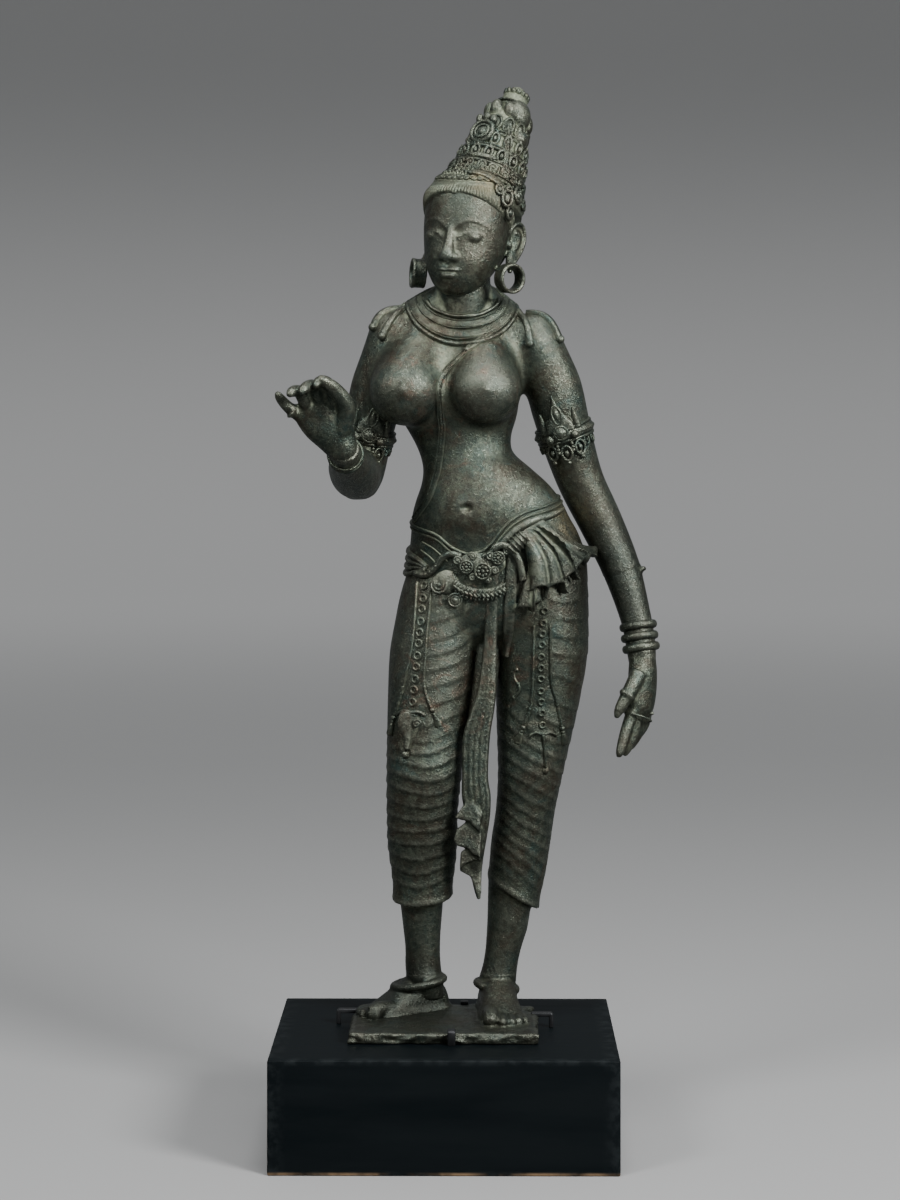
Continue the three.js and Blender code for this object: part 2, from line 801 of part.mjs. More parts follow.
// The girdle: a rolled upper hem that dips below the navel, a patterned band under it, and a
// heavy cord belt.
function girdle() {
  const dipping = (mean, side, dip) => (a) =>
    mean + side * Math.cos(a) - dip * Math.max(Math.sin(a), 0) ** 1.5;
  const courses = [
    [dipping(322, 8, -5), -4],
    [dipping(325, 8, -5), 3],
    [dipping(332, 8, -5), 4.4],
    [dipping(339, 7, 2), 1],
    [dipping(349, 7, 12), 1.6],
    [dipping(362, 9, 22), 0.6],
    [dipping(364, 9, 22), 2.4],
    [dipping(368, 9, 22), 2],
    [dipping(370, 9, 22), -4],
  ];
  return moulding(TORSO, courses, 16);
}

// The clasp on the belt, with its scrolled bosses and a festoon hung below.
function clasp() {
  const lobes = [
    [18, 334, 9],
    [30, 337, 8],
    [5, 328, 7.5],
    [-4, 315, 6.5],
  ].map(([x, height, size]) => ball(TORSO.front(x, height, 2.5), vec(size, 5, size), 6, 4));
  const festoon = steps(0, 1, 5).map((t) => {
    const x = mix(3, 46, t);
    return TORSO.front(x, 320 - 11 * Math.sin(t * Math.PI), 3);
  });
  return [...lobes, cord(festoon, 3.6)];
}

// The sash gathered on the left hip. Its pleats fan out and end in a zigzag hem.
const SASH_KNOT = vec(62, 0, 350);
const PLEATS = 4;

function hipSash() {
  const count = PLEATS * 2 + 1;
  const row = (far) => {
    const top = [];
    for (let i = 0; i < count; i++) {
      const across = i / (count - 1);
      const raised = i % 2 ? 1 : 0;
      const hem = vec(mix(50, 101, across), 0, mix(300, 344, across ** 1.4) - 5 * raised);
      const root = vec(mix(50, 78, across), 0, mix(352, 372, across));
      const place = root.lerp(hem, far);
      const proud = mix(3, 7.5, far) + (raised ? mix(1, 4, far) : 0);
      top.push(TORSO.front(place.x, place.z, proud));
    }
    const under = top
      .slice()
      .reverse()
      .map((p) => p.clone().add(vec(0, 3.5, 0)));
    return [...top, ...under];
  };
  const knot = ball(TORSO.front(SASH_KNOT.x - 8, SASH_KNOT.z, 3), vec(8, 6, 9), 8, 5);
  return [skin(steps(0, 1, 2).map(row)), knot];
}

// The long sash end that hangs between the legs, pleated and cut to a stepped point.
const HANGING_SASH = [
  [38, -25, 344, 8, 4],
  [33, -27, 312, 8, 4.5],
  [29.5, -25, 280, 10, 4.5],
  [25.5, -21, 245, 10.5, 4.5],
  [21.5, -18, 212, 10.5, 4.5],
  [20, -15, 175, 11, 4.5],
  [20, -12, 145, 12.5, 4.5],
  [17, -10, 122, 11.5, 4],
  [20, -9, 104, 7, 3],
  [24, -9, 88, 1.5, 1.5],
];

function hangingSash() {
  const count = 7;
  const rings = HANGING_SASH.map(([x, y, z, half, deep]) => {
    const face = steps(-1, 1, count - 1).map((across, i) =>
      vec(x + across * half, y - (i % 2 ? deep + 2 : deep - 1.5) * (half > 3 ? 1 : 0.4), z),
    );
    const rear = [vec(x + half * 0.8, y + deep, z), vec(x - half * 0.8, y + deep, z)];
    return [...face, ...rear];
  });
  const steppedHem = [0, 1, 2].map((i) =>
    limb(
      [
        [15 + i, -12, 142 - i * 15, 8, 3],
        [10 + i, -13.5, 137 - i * 15, 8, 3.4],
        [7 + i, -13, 132 - i * 15, 3, 1.5],
      ],
      4,
      vec(0, 0, 1),
    ),
  );
  return [skin(rings), ...steppedHem];
}

// The whole casting.

// The base plate is what remains of a cast pedestal: its outline is broken and uneven.
function basePlate() {
  const [w, d] = [BASE_PLATE_WIDTH / 2 - BASE_PLATE_CHAMFER, BASE_PLATE_DEPTH / 2 - BASE_PLATE_CHAMFER];
  const outline = [
    [-1, -0.97],
    [-0.4, -0.99],
    [0.1, -1],
    [1, -1],
    [1, 0.35],
    [0.86, 0.5],
    [0.97, 0.78],
    [0.4, 1],
    [-0.5, 0.98],
    [-0.96, 0.9],
    [-1, 0.1],
  ].map(([x, y]) => new THREE.Vector2(PLATE_CENTRE.x + x * w, PLATE_CENTRE.y + y * d));
  const slab = new THREE.ExtrudeGeometry(new THREE.Shape(outline), {
    depth: BASE_PLATE_THICKNESS - 2 * BASE_PLATE_CHAMFER,
    bevelThickness: BASE_PLATE_CHAMFER,
    bevelSize: BASE_PLATE_CHAMFER,
    bevelSegments: 1,
  });
  return solidOf(slab.translate(0, 0, BASE_PLATE_CHAMFER));
}

function casting() {
  const body = joined([
    torso(),
    legs(),
    ...FEET.map(foot),
    arms(),
    hands(),
    head(),
    crown(),
    collar(),
    ...shoulderRibbons(),
    sacredThread(),
    ...armlets(),
    girdle(),
    ...clasp(),
    ...hipSash(),
    ...hangingSash(),
  ]);
  const toSize = new THREE.Matrix4()
    .makeTranslation(0, 0, BASE_PLATE_THICKNESS)
    .multiply(new THREE.Matrix4().makeScale(SHARE, SHARE, SHARE));
  return basePlate().add(body.transform(toSize.elements));
}

// The plinth and its clips.

function plinth() {
  const [w, d] = [PLINTH_WIDTH / 2 - PLINTH_EDGE, PLINTH_DEPTH / 2 - PLINTH_EDGE];
  const outline = new THREE.Shape([
    new THREE.Vector2(-w, -d),
    new THREE.Vector2(w, -d),
    new THREE.Vector2(w, d),
    new THREE.Vector2(-w, d),
  ]);
  return new THREE.ExtrudeGeometry(outline, {
    depth: PLINTH_HEIGHT - 2 * PLINTH_EDGE,
    bevelThickness: PLINTH_EDGE,
    bevelSize: PLINTH_EDGE,
    bevelSegments: 1,
  }).translate(0, 0, PLINTH_EDGE);
}

// A clip is a bent strap: a leg that stands on the plinth and an arm over the base plate.
// It is drawn with the plate's edge at x 0 and the plate on the +x side.
function clip(standOff) {
  const bottom = CLEARANCE;
  const top = BASE_PLATE_THICKNESS + CLEARANCE + CLIP_THICKNESS;
  const leg = -standOff - CLIP_THICKNESS;
  const profile = new THREE.Shape([
    new THREE.Vector2(leg, bottom),
    new THREE.Vector2(-standOff, bottom),
    new THREE.Vector2(-standOff, top - CLIP_THICKNESS),
    new THREE.Vector2(CLIP_OVERLAP, top - CLIP_THICKNESS),
    new THREE.Vector2(CLIP_OVERLAP, top),
    new THREE.Vector2(leg + CLIP_THICKNESS / 2, top),
    new THREE.Vector2(leg, top - CLIP_THICKNESS / 2),
  ]);
  return new THREE.ExtrudeGeometry(profile, { depth: CLIP_WIDTH, bevelEnabled: false })
    .translate(0, 0, -CLIP_WIDTH / 2)
    .rotateX(Math.PI / 2);
}

const PLATE_EDGES = {
  clip_left: { x: PLATE_CENTRE.x - BASE_PLATE_WIDTH / 2, y: 16, turn: 0, standOff: SIDE_CLIP_STANDOFF },
  clip_right: { x: PLATE_CENTRE.x + BASE_PLATE_WIDTH / 2, y: 4, turn: Math.PI, standOff: SIDE_CLIP_STANDOFF },
  clip_front: { x: 5, y: PLATE_CENTRE.y - BASE_PLATE_DEPTH / 2, turn: Math.PI / 2, standOff: CLEARANCE },
  clip_back: { x: 14, y: PLATE_CENTRE.y + BASE_PLATE_DEPTH / 2, turn: -Math.PI / 2, standOff: CLEARANCE },
};

function named(name, geometry, material) {
  const mesh = new THREE.Mesh(geometry, material);
  mesh.name = name;
  return mesh;
}

const statue = new THREE.Group();
statue.add(named("plinth", plinth(), PAINTED_WOOD));

const held = new THREE.Group();
held.position.z = PLINTH_HEIGHT;
held.add(named("figure", geometryOf(casting()), BRONZE));
Object.entries(PLATE_EDGES).forEach(([name, { x, y, turn, standOff }]) => {
  const mesh = named(name, clip(standOff), BLACK_STEEL);
  mesh.position.set(x, y, 0);
  mesh.rotation.z = turn;
  held.add(mesh);
});
statue.add(held);

export default statue;
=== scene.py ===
import functools
import math

import bmesh
import bpy
import numpy as np
from bpy.props import FloatProperty, FloatVectorProperty, PointerProperty
from mathutils import Euler, Matrix, Vector, noise
from mathutils.bvhtree import BVHTree


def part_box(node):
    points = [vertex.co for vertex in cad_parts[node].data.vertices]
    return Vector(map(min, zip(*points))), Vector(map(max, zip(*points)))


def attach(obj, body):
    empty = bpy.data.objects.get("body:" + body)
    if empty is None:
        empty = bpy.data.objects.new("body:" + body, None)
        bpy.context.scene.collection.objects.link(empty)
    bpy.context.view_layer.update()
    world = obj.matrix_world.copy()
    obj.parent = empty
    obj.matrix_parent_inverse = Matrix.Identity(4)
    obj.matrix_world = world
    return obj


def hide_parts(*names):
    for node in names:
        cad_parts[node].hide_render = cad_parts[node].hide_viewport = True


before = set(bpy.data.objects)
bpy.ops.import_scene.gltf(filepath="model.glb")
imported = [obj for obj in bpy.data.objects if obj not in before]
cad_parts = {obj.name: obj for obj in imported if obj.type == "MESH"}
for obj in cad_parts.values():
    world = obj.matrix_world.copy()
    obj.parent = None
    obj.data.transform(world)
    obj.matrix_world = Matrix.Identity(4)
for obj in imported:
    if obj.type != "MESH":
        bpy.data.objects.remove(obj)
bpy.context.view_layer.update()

bl_info = {
    "name": "Bronze goddess on a plinth",
    "version": (1, 0, 0),
    "blender": (4, 5, 0),
    "location": "View3D > Sidebar > Statue",
    "description": "Carves and finishes a cast bronze goddess and her painted wooden plinth",
    "category": "Object",
}

# Sizes from the frame. The figure is drawn in shares of her height, soles to crown tip, and at
# the real size one share is about one millimetre. X is the viewer's right and the front faces -Y.
FIGURE_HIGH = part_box("figure")[1]
PLINTH_LOW, PLINTH_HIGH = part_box("plinth")
PLATE_THICKNESS = 0.008
SHARES_TO_TOP = 691.1
SOLE = PLINTH_HIGH.z + PLATE_THICKNESS
SHARE = (FIGURE_HIGH.z - SOLE) / SHARES_TO_TOP
TO_FRAME = Matrix.Translation((0, 0, SOLE)) @ Matrix.Scale(SHARE, 4)
TURN = 2 * math.pi
FAR = 300  # shares, outside the whole figure


def vec(*parts):
    return Vector(parts)


def mix(a, b, t):
    return a + (b - a) * t


def clamp(value, low=0.0, high=1.0):
    return max(low, min(high, value))


def ease(low, high, value):
    """0 below low, 1 above high, and a smooth step between; high may be the lower one."""
    t = np.clip((value - low) / (high - low), 0, 1)
    return t * t * (3 - 2 * t)


# Forms and the skins laid over them.

FORM_STEP = 2.5  # shares between the level rings of a form's skin
THINNEST = 0.3  # the least half width of a limb, in shares
CURVE_STEPS = 200  # by which the length of a curve is measured


def smooth_row(rows, at):
    """Reads a table whose first column rises or falls steadily, on a smooth curve through it."""
    rising = rows[1][0] > rows[0][0]
    last = len(rows) - 1
    i = 0
    while i < last - 1 and (at > rows[i + 1][0] if rising else at < rows[i + 1][0]):
        i += 1
    span = rows[i + 1][0] - rows[i][0]
    t = clamp((at - rows[i][0]) / span)
    t2, t3 = t * t, t * t * t

    def slope(k, c):
        a, b = rows[max(k - 1, 0)], rows[min(k + 1, last)]
        return (b[c] - a[c]) / (b[0] - a[0]) * span

    return [
        (2 * t3 - 3 * t2 + 1) * rows[i][c] + (t3 - 2 * t2 + t) * slope(i, c)
        + (3 * t2 - 2 * t3) * rows[i + 1][c] + (t3 - t2) * slope(i + 1, c)
        for c in range(1, len(rows[0]))
    ]


class Form:
    """A form with level sections. Each row is height, middle x, middle y, half width, depth in
    front of the middle and depth behind it. Angle 0 is the viewer's right and the front is at
    a quarter turn."""

    def __init__(self, rows):
        self.rows = rows
        self.section = functools.lru_cache(maxsize=4096)(lambda h: smooth_row(rows, h))

    def at(self, height, angle, proud=0.0):
        x, y, half, front, back = self.section(round(height, 3))
        c, s = math.cos(angle), math.sin(angle)
        deep = (front if s > 0 else back) + proud
        return vec(x + (half + proud) * c, y - deep * s, height)

    def front(self, x, height, proud=0.0):
        middle, y, half, front, _ = self.section(round(height, 3))
        share = clamp((x - middle) / (half + proud), -0.98, 0.98)
        return vec(x, y - (front + proud) * math.sqrt(1 - share * share), height)


def skin(bm, place, around, along):
    """A closed skin: a grid whose corner at (u, w), each from 0 to 1, is moved to place(u, w)."""
    grid = bmesh.ops.create_grid(bm, x_segments=around, y_segments=along, size=0.5)["verts"]
    for vert in grid:
        vert.co = place(vert.co.x + 0.5, vert.co.y + 0.5)
    bmesh.ops.remove_doubles(bm, verts=grid, dist=1e-4)
    grid = [vert for vert in grid if vert.is_valid]
    rims = list({edge for vert in grid for edge in vert.link_edges if edge.is_boundary})
    if rims:
        bmesh.ops.holes_fill(bm, edges=rims, sides=0)


def form_skin(bm, form, low, high, around=96):
    """The skin of a form between two heights."""
    along = round((high - low) / FORM_STEP)
    skin(bm, lambda u, w: form.at(mix(low, high, w), u * TURN), around, along)


def turned(x_way, y_way, z_way):
    """A turn that lays the three axes along three square ways."""
    return Matrix((x_way, y_way, z_way)).transposed().to_4x4()


def ball(bm, centre, radii, fineness=3, turn=None):
    """A rounded boss of three radii, or one, that may be turned."""
    size = Vector(radii) if hasattr(radii, "__len__") else vec(radii, radii, radii)
    place = Matrix.Translation(centre) @ (turn or Matrix()) @ Matrix.Diagonal((*size, 1))
    bmesh.ops.create_icosphere(bm, subdivisions=fineness, radius=1, matrix=place)


def spline(points, t, loop=False):
    """The point at t, from 0 to 1, on a smooth curve through points of any number of parts."""
    count = len(points)
    span = clamp(t) * (count if loop else count - 1)
    i = min(int(span), count - 1 if loop else count - 2)
    f = span - i

    def point(k):
        return points[k % count] if loop else points[min(max(k, 0), count - 1)]

    weights = (
        (-f + 2 * f**2 - f**3) / 2,
        (2 - 5 * f**2 + 3 * f**3) / 2,
        (f + 4 * f**2 - 3 * f**3) / 2,
        (f**3 - f**2) / 2,
    )
    near = [point(k) for k in range(i - 1, i + 3)]
    return [sum(w * p[c] for w, p in zip(weights, near)) for c in range(len(points[0]))]


def route(points, spacing=1.5, loop=False):
    """Even steps along the smooth curve through points, as lists of their parts."""
    rough = [spline(points, i / CURVE_STEPS, loop) for i in range(CURVE_STEPS + 1)]
    walked = [0.0]
    for a, b in zip(rough, rough[1:]):
        walked.append(walked[-1] + math.dist(a[:3], b[:3]))
    count = max(3, round(walked[-1] / spacing))
    targets = np.linspace(0, walked[-1], count + 1)
    columns = [np.interp(targets, walked, [row[c] for row in rough]) for c in range(len(rough[0]))]
    return [list(row) for row in zip(*columns)]


def tangents(points, loop=False):
    last = len(points) - 1
    found = []
    for i in range(len(points)):
        ahead = points[1] if loop and i == last else points[min(i + 1, last)]
        behind = points[last - 1] if loop and i == 0 else points[max(i - 1, 0)]
        found.append((Vector(ahead[:3]) - Vector(behind[:3])).normalized())
    return found


def limb(bm, stations, across=(1, 0, 0), around=28, spacing=2.0):
    """A round limb through stations of x, y, z, half width and half depth. Half width lies
    along across."""
    stations = [list(s) + [s[3]] if len(s) == 4 else list(s) for s in stations]
    rings = route(stations, spacing)
    ways = tangents(rings)
    frames = []
    for (x, y, z, wide, deep), way in zip(rings, ways):
        side = (Vector(across) - way * way.dot(Vector(across))).normalized()
        frames.append((vec(x, y, z), side * max(wide, THINNEST), way.cross(side) * max(deep, THINNEST)))

    def place(u, w):
        centre, side, depth = frames[round(w * (len(frames) - 1))]
        return centre + side * math.cos(u * TURN) + depth * math.sin(u * TURN)

    skin(bm, place, around, len(frames) - 1)


def strap(bm, laid, wide, deep, beads=0, notch=0.45, around=8, loop=False, taper=None, edge=0.0):
    """A strap or cord along laid pairs of point and outward normal. beads pinch it evenly, and
    taper(w) scales its width. edge raises its two borders."""
    ways = tangents([p for p, _ in laid], loop)
    last = len(laid) - 1

    def place(u, w):
        i = round(w * last)
        point, out = laid[i]
        side = ways[i].cross(out).normalized()
        pinch = 1 - notch * (1 - abs(math.sin(math.pi * beads * w))) if beads else 1
        width = wide * (taper(w) if taper else 1) * pinch
        c, s = math.cos(u * TURN), math.sin(u * TURN)
        rise = deep * pinch * s * (1 + edge * abs(c) ** 3 * 2)
        return point + side * width * c + out * rise

    skin(bm, place, around, last)


def torus(bm, centre, axis, radius, thick, around=64, ring=10):
    """A ring about an axis. thick is its half thickness, or a pair: across and along the axis."""
    out, along = thick if hasattr(thick, "__len__") else (thick, thick)
    up = Vector(axis).normalized()
    side = up.orthogonal().normalized()
    other = up.cross(side)

    def place(u, w):
        a, b = u * TURN, w * TURN
        way = side * math.cos(a) + other * math.sin(a)
        return centre + way * (radius + out * math.cos(b)) + up * along * math.sin(b)

    skin(bm, place, around, ring)


# Skins that join into one casting, and the carving on them.

FOOT_HOLLOW = 0.9  # how hollow an ornament counts where it meets the surface
TOP_HOLLOW = -0.5  # and on its top


def shell(bm, voxel):
    """Joins overlapping closed shells into one mesh of small even faces."""
    bmesh.ops.recalc_face_normals(bm, faces=bm.faces)
    mesh = new_mesh(bm, "loose_shells")
    holder = show("loose_shells", mesh)
    remesh = holder.modifiers.new("One skin", "REMESH")
    remesh.mode = "VOXEL"
    remesh.voxel_size = voxel
    bpy.context.view_layer.update()
    graph = bpy.context.evaluated_depsgraph_get()
    joined = bpy.data.meshes.new_from_object(holder.evaluated_get(graph))
    bpy.data.objects.remove(holder)
    bpy.data.meshes.remove(mesh)
    return joined


def mark(mesh, name, values):
    """Keeps one number for each corner of a mesh, for a material to read."""
    layer = mesh.attributes.new(name, "FLOAT", "POINT")
    layer.data.foreach_set("value", values)


def new_mesh(bm, name):
    """The mesh of a finished shape."""
    mesh = bpy.data.meshes.new(name)
    bm.to_mesh(mesh)
    bm.free()
    return mesh


def show(name, data):
    """A new object in the scene."""
    item = bpy.data.objects.new(name, data)
    bpy.context.scene.collection.objects.link(item)
    return item


class Skin:
    """A mesh's corners, normals and edges as arrays, for moves over the whole surface."""

    def __init__(self, mesh):
        self.mesh = mesh
        count = len(mesh.vertices)
        self.points = np.empty(count * 3, np.float32)
        mesh.vertices.foreach_get("co", self.points)
        self.points = self.points.reshape(-1, 3).astype(float)
        self.edges = np.empty(len(mesh.edges) * 2, np.int32)
        mesh.edges.foreach_get("vertices", self.edges)
        self.edges = self.edges.reshape(-1, 2)
        self.degree = np.bincount(self.edges.ravel(), minlength=count)[:, None]

    def beside(self, values):
        """The mean of each corner's neighbours."""
        a, b = self.edges.T
        total = np.empty_like(values)
        for c in range(values.shape[1]):
            total[:, c] = np.bincount(a, values[b, c], len(values)) + np.bincount(
                b, values[a, c], len(values))
        return total / self.degree

    def relax(self, rounds, weight=1.0):
        """Softens the surface. weight is one number or one for each corner."""
        share = weight if np.isscalar(weight) else weight[:, None]
        for _ in range(rounds):
            self.points += (self.beside(self.points) - self.points) * 0.5 * share

    def normals(self):
        self.write()
        found = np.empty(len(self.points) * 3, np.float32)
        self.mesh.vertices.foreach_get("normal", found)
        return found.reshape(-1, 3).astype(float)

    def push(self, amount):
        """Moves each corner out along its normal, or in where the amount is negative."""
        self.points += self.normals() * amount[:, None]

    def write(self):
        self.mesh.vertices.foreach_set("co", self.points.astype(np.float32).ravel())
        self.mesh.update()

    def mark_hollows(self):
        """Keeps how hollow, or how proud, each corner lies, for the patina to gather in. It is
        measured against a slightly softened and against a much softened surface."""
        out = self.normals()
        soft = self.points.copy()
        hollow = np.zeros(len(soft))
        done = 0
        for rounds, full_depth in ((4, 0.17), (24, 0.6)):
            for _ in range(rounds - done):
                soft += (self.beside(soft) - soft) * 0.5
            done = rounds
            depth = np.einsum("ij,ij->i", soft - self.points, out)
            hollow += np.clip(depth / full_depth, -1, 1) * 0.5
        for _ in range(2):
            hollow = self.beside(hollow[:, None])[:, 0]
        mark(self.mesh, "hollow", hollow.astype(np.float32))


def casting(bm, name, size, soften, carve=None, replaces=None):
    """One bronze piece: its shells joined, softened as wax is, carved, and set in the frame. size
    names the setting for the width of its faces, and soften is the number of rounds."""
    surface = Skin(shell(bm, getattr(bpy.context.scene.statue_sizes, size)))
    surface.relax(soften)
    if carve:
        carve(surface)
    surface.mark_hollows()
    surface.write()
    set_piece(surface.mesh, name, bronze(), TO_FRAME, replaces)


def chased(bm, name, surface, deep=2.6):
    """One bronze piece of small crisp shells, with patina where they meet what carries them. It
    thins out up to deep, in shares."""
    bmesh.ops.recalc_face_normals(bm, faces=bm.faces)
    mesh = new_mesh(bm, name)
    rises = [surface.tree.find_nearest(vert.co)[3] for vert in mesh.vertices]
    mark(mesh, "hollow", [mix(FOOT_HOLLOW, TOP_HOLLOW, clamp(rise / deep)) for rise in rises])
    set_piece(mesh, name, bronze(), TO_FRAME)


def set_piece(mesh, name, material, place=Matrix(), replaces=None):
    mesh.transform(place)
    mesh.name = name
    mesh.materials.clear()
    mesh.materials.append(material)
    mesh.shade_smooth()
    piece = show(name, mesh)
    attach(piece, "root")
    if replaces:
        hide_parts(replaces)


class Surface:
    """A surface that ornaments can be laid on, in shares: finished pieces, or shells in work."""

    def __init__(self, *names, shells=None):
        bm = shells or bmesh.new()
        for name in names:
            bm.from_mesh(bpy.data.objects[name].data)
        if names:
            bm.transform(TO_FRAME.inverted())
        self.tree = BVHTree.FromBMesh(bm)
        if names:
            bm.free()

    def cast(self, start, way):
        point, out, _, _ = self.tree.ray_cast(Vector(start), Vector(way))
        if point is None:
            raise RuntimeError(f"nothing to lay an ornament on from {tuple(start)}")
        return point, out

    def front(self, x, z, proud=0.0):
        point, out = self.cast((x, -FAR, z), (0, 1, 0))
        return point + out * proud

    def spot(self, x, z, proud=0.0):
        """A place in front and the way out of it, turned half towards the viewer."""
        point, out = self.cast((x, -FAR, z), (0, 1, 0))
        out = (out + vec(0, -1, 0)).normalized()
        return point + out * proud, out

    def press(self, x, y, z, proud=0.0):
        """The place nearest to a point, and the way out of it."""
        point, out = self.tree.find_nearest(vec(x, y, z))[:2]
        return point + out * proud, out

    def lay(self, points, spacing=1.2, proud=0.0, behind=False):
        """Point and normal pairs along a route of (x, z), laid on from the front or from behind."""
        path = route([(x, 0, z) for x, z in points], spacing)
        start, way = (FAR, (0, -1, 0)) if behind else (-FAR, (0, 1, 0))
        return soft_pairs([self.cast((x, start, z), way) for x, _, z in path], proud)

    def hug(self, points, spacing=1.2, proud=0.0):
        """Pairs along a route in space, each drawn to the nearest place on the surface."""
        found = [self.tree.find_nearest(Vector(spot))[:2] for spot in route(points, spacing)]
        return soft_pairs(found, proud)

    def girth(self, rows, spacing=1.2, proud=0.0, loop=True):
        """Pairs round the hips through rows of degrees and height, cast in from close by."""
        rough = [list(TORSO.at(height, math.radians(degrees))) for degrees, height in rows]
        found = []
        for x, y, z in route(rough, spacing, loop):
            middle, deep = TORSO.section(round(z, 3))[:2]
            way = vec(middle - x, deep - y, 0).normalized()
            found.append(self.cast(vec(x, y, z) - way * mix(2.5, 14, clamp((y - 25) / 10)), way))
        return soft_pairs(found, proud, loop)


def soft_pairs(pairs, proud=0.0, loop=False, rounds=3):
    """Evens out laid pairs along their route and lifts them."""
    points = [p for p, _ in pairs]
    outs = [n for _, n in pairs]
    last = len(pairs) - 1
    for _ in range(rounds):
        for row in (points, outs):
            old = list(row)
            for i in range(len(row)):
                if not loop and i in (0, last):
                    continue
                row[i] = (old[i - 1 if i else last - 1] + old[i] * 2 + old[i + 1 if i < last else 1]) / 4
            if loop:
                row[last] = row[0]
    outs = [n.normalized() for n in outs]
    return [(p + n * proud, n) for p, n in zip(points, outs)]


# Finishes.

class Paint:
    """A material whose patterns read Object coordinates."""

    def __init__(self, name, **sockets):
        self.material = bpy.data.materials.new(name)
        self.material.use_nodes = True
        self.tree = self.material.node_tree
        self.shader = self.tree.nodes["Principled BSDF"]
        for socket, value in sockets.items():
            self.shader.inputs[socket.replace("_", " ")].default_value = value
        self.place = self.node("TexCoord").outputs["Object"]

    def node(self, kind):
        return self.tree.nodes.new("ShaderNode" + kind)

    def feed(self, socket, value):
        if hasattr(value, "links"):
            self.tree.links.new(value, socket)
        elif hasattr(value, "__len__") and len(value) == 3 and socket.type == "RGBA":
            socket.default_value = (*value, 1)
        else:
            socket.default_value = value

    def noise(self, scale, detail=4, roughness=0.55, distortion=0.0, place=None):
        made = self.node("TexNoise")
        self.feed(made.inputs["Vector"], place or self.place)
        for socket, value in (("Scale", scale), ("Detail", detail), ("Roughness", roughness),
                              ("Distortion", distortion)):
            made.inputs[socket].default_value = value
        return made.outputs["Fac"]

    def stretched(self, size):
        made = self.node("Mapping")
        made.inputs["Scale"].default_value = size
        self.feed(made.inputs["Vector"], self.place)
        return made.outputs["Vector"]

    def span(self, source, low, high, to_low=0.0, to_high=1.0):
        """source from low to high, eased to another span and held at its ends."""
        made = self.node("MapRange")
        made.interpolation_type = "SMOOTHSTEP"
        for socket, value in zip(made.inputs, (source, low, high, to_low, to_high)):
            self.feed(socket, value)
        return made.outputs["Result"]

    def math(self, kind, a, b):
        made = self.node("Math")
        made.operation = kind
        made.use_clamp = kind == "ADD"
        self.feed(made.inputs[0], a)
        self.feed(made.inputs[1], b)
        return made.outputs[0]

    def plus(self, a, b):
        return self.math("ADD", a, b)

    def times(self, a, b):
        return self.math("MULTIPLY", a, b)

    def most(self, *values):
        return functools.reduce(lambda a, b: self.math("MAXIMUM", a, b), values)

    def blend(self, share, a, b):
        made = self.node("Mix")
        made.data_type = "RGBA"
        self.feed(made.inputs["Factor"], share)
        self.feed(made.inputs[6], a)
        self.feed(made.inputs[7], b)
        return made.outputs[2]

    def near(self, centre, reach):
        """1 at a place on the object, fading to 0 at its reach."""
        made = self.node("VectorMath")
        made.operation = "DISTANCE"
        self.feed(made.inputs[0], self.place)
        made.inputs[1].default_value = centre
        return self.span(made.outputs["Value"], reach, reach * 0.35)

    def height(self):
        made = self.node("SeparateXYZ")
        self.feed(made.inputs[0], self.place)
        return made.outputs["Z"]

    def attribute(self, name):
        made = self.node("Attribute")
        made.attribute_name = name
        return made.outputs["Fac"]

    def bump(self, height, strength, distance, under=None):
        made = self.node("Bump")
        made.inputs["Strength"].default_value = strength
        made.inputs["Distance"].default_value = distance
        self.feed(made.inputs["Height"], height)
        if under:
            self.feed(made.inputs["Normal"], under)
        return made.outputs["Normal"]

    def give(self, **sockets):
        for socket, value in sockets.items():
            self.feed(self.shader.inputs[socket.replace("_", " ")], value)
        return self.material


# Places on the figure that the patina, the painted highlights and the painted shade treat apart: x, y, z
# and reach, in shares.
RED_PLACES = [(8, -25, 265, 80), (4, -40, 450, 75)]
COLLAR_PLACE = (12, -15, 512, 60)
BELT_PLACE = (25, -30, 325, 75)
OCHRE_PLACES = [(97, -4, 366, 26), (30, -28, 617, 17)]
# The face and the next places, on a thigh and a breast, get painted highlights.
FACE_PLACE = (14, -30, 578, 42)
PAINTED_LIGHT_PLACES = [(-10, -28, 275, 60), (30, -40, 472, 34)]
# The next places are darkened with painted shade: the hanging forearm, round her right foot, and the
# sash's flaps.
PAINTED_SHADE_PLACES = [(126, 0, 328, 72), (-30, 6, 12, 46)]
PAINTED_SHADE_FLAPS = (17, -17, 132, 40)


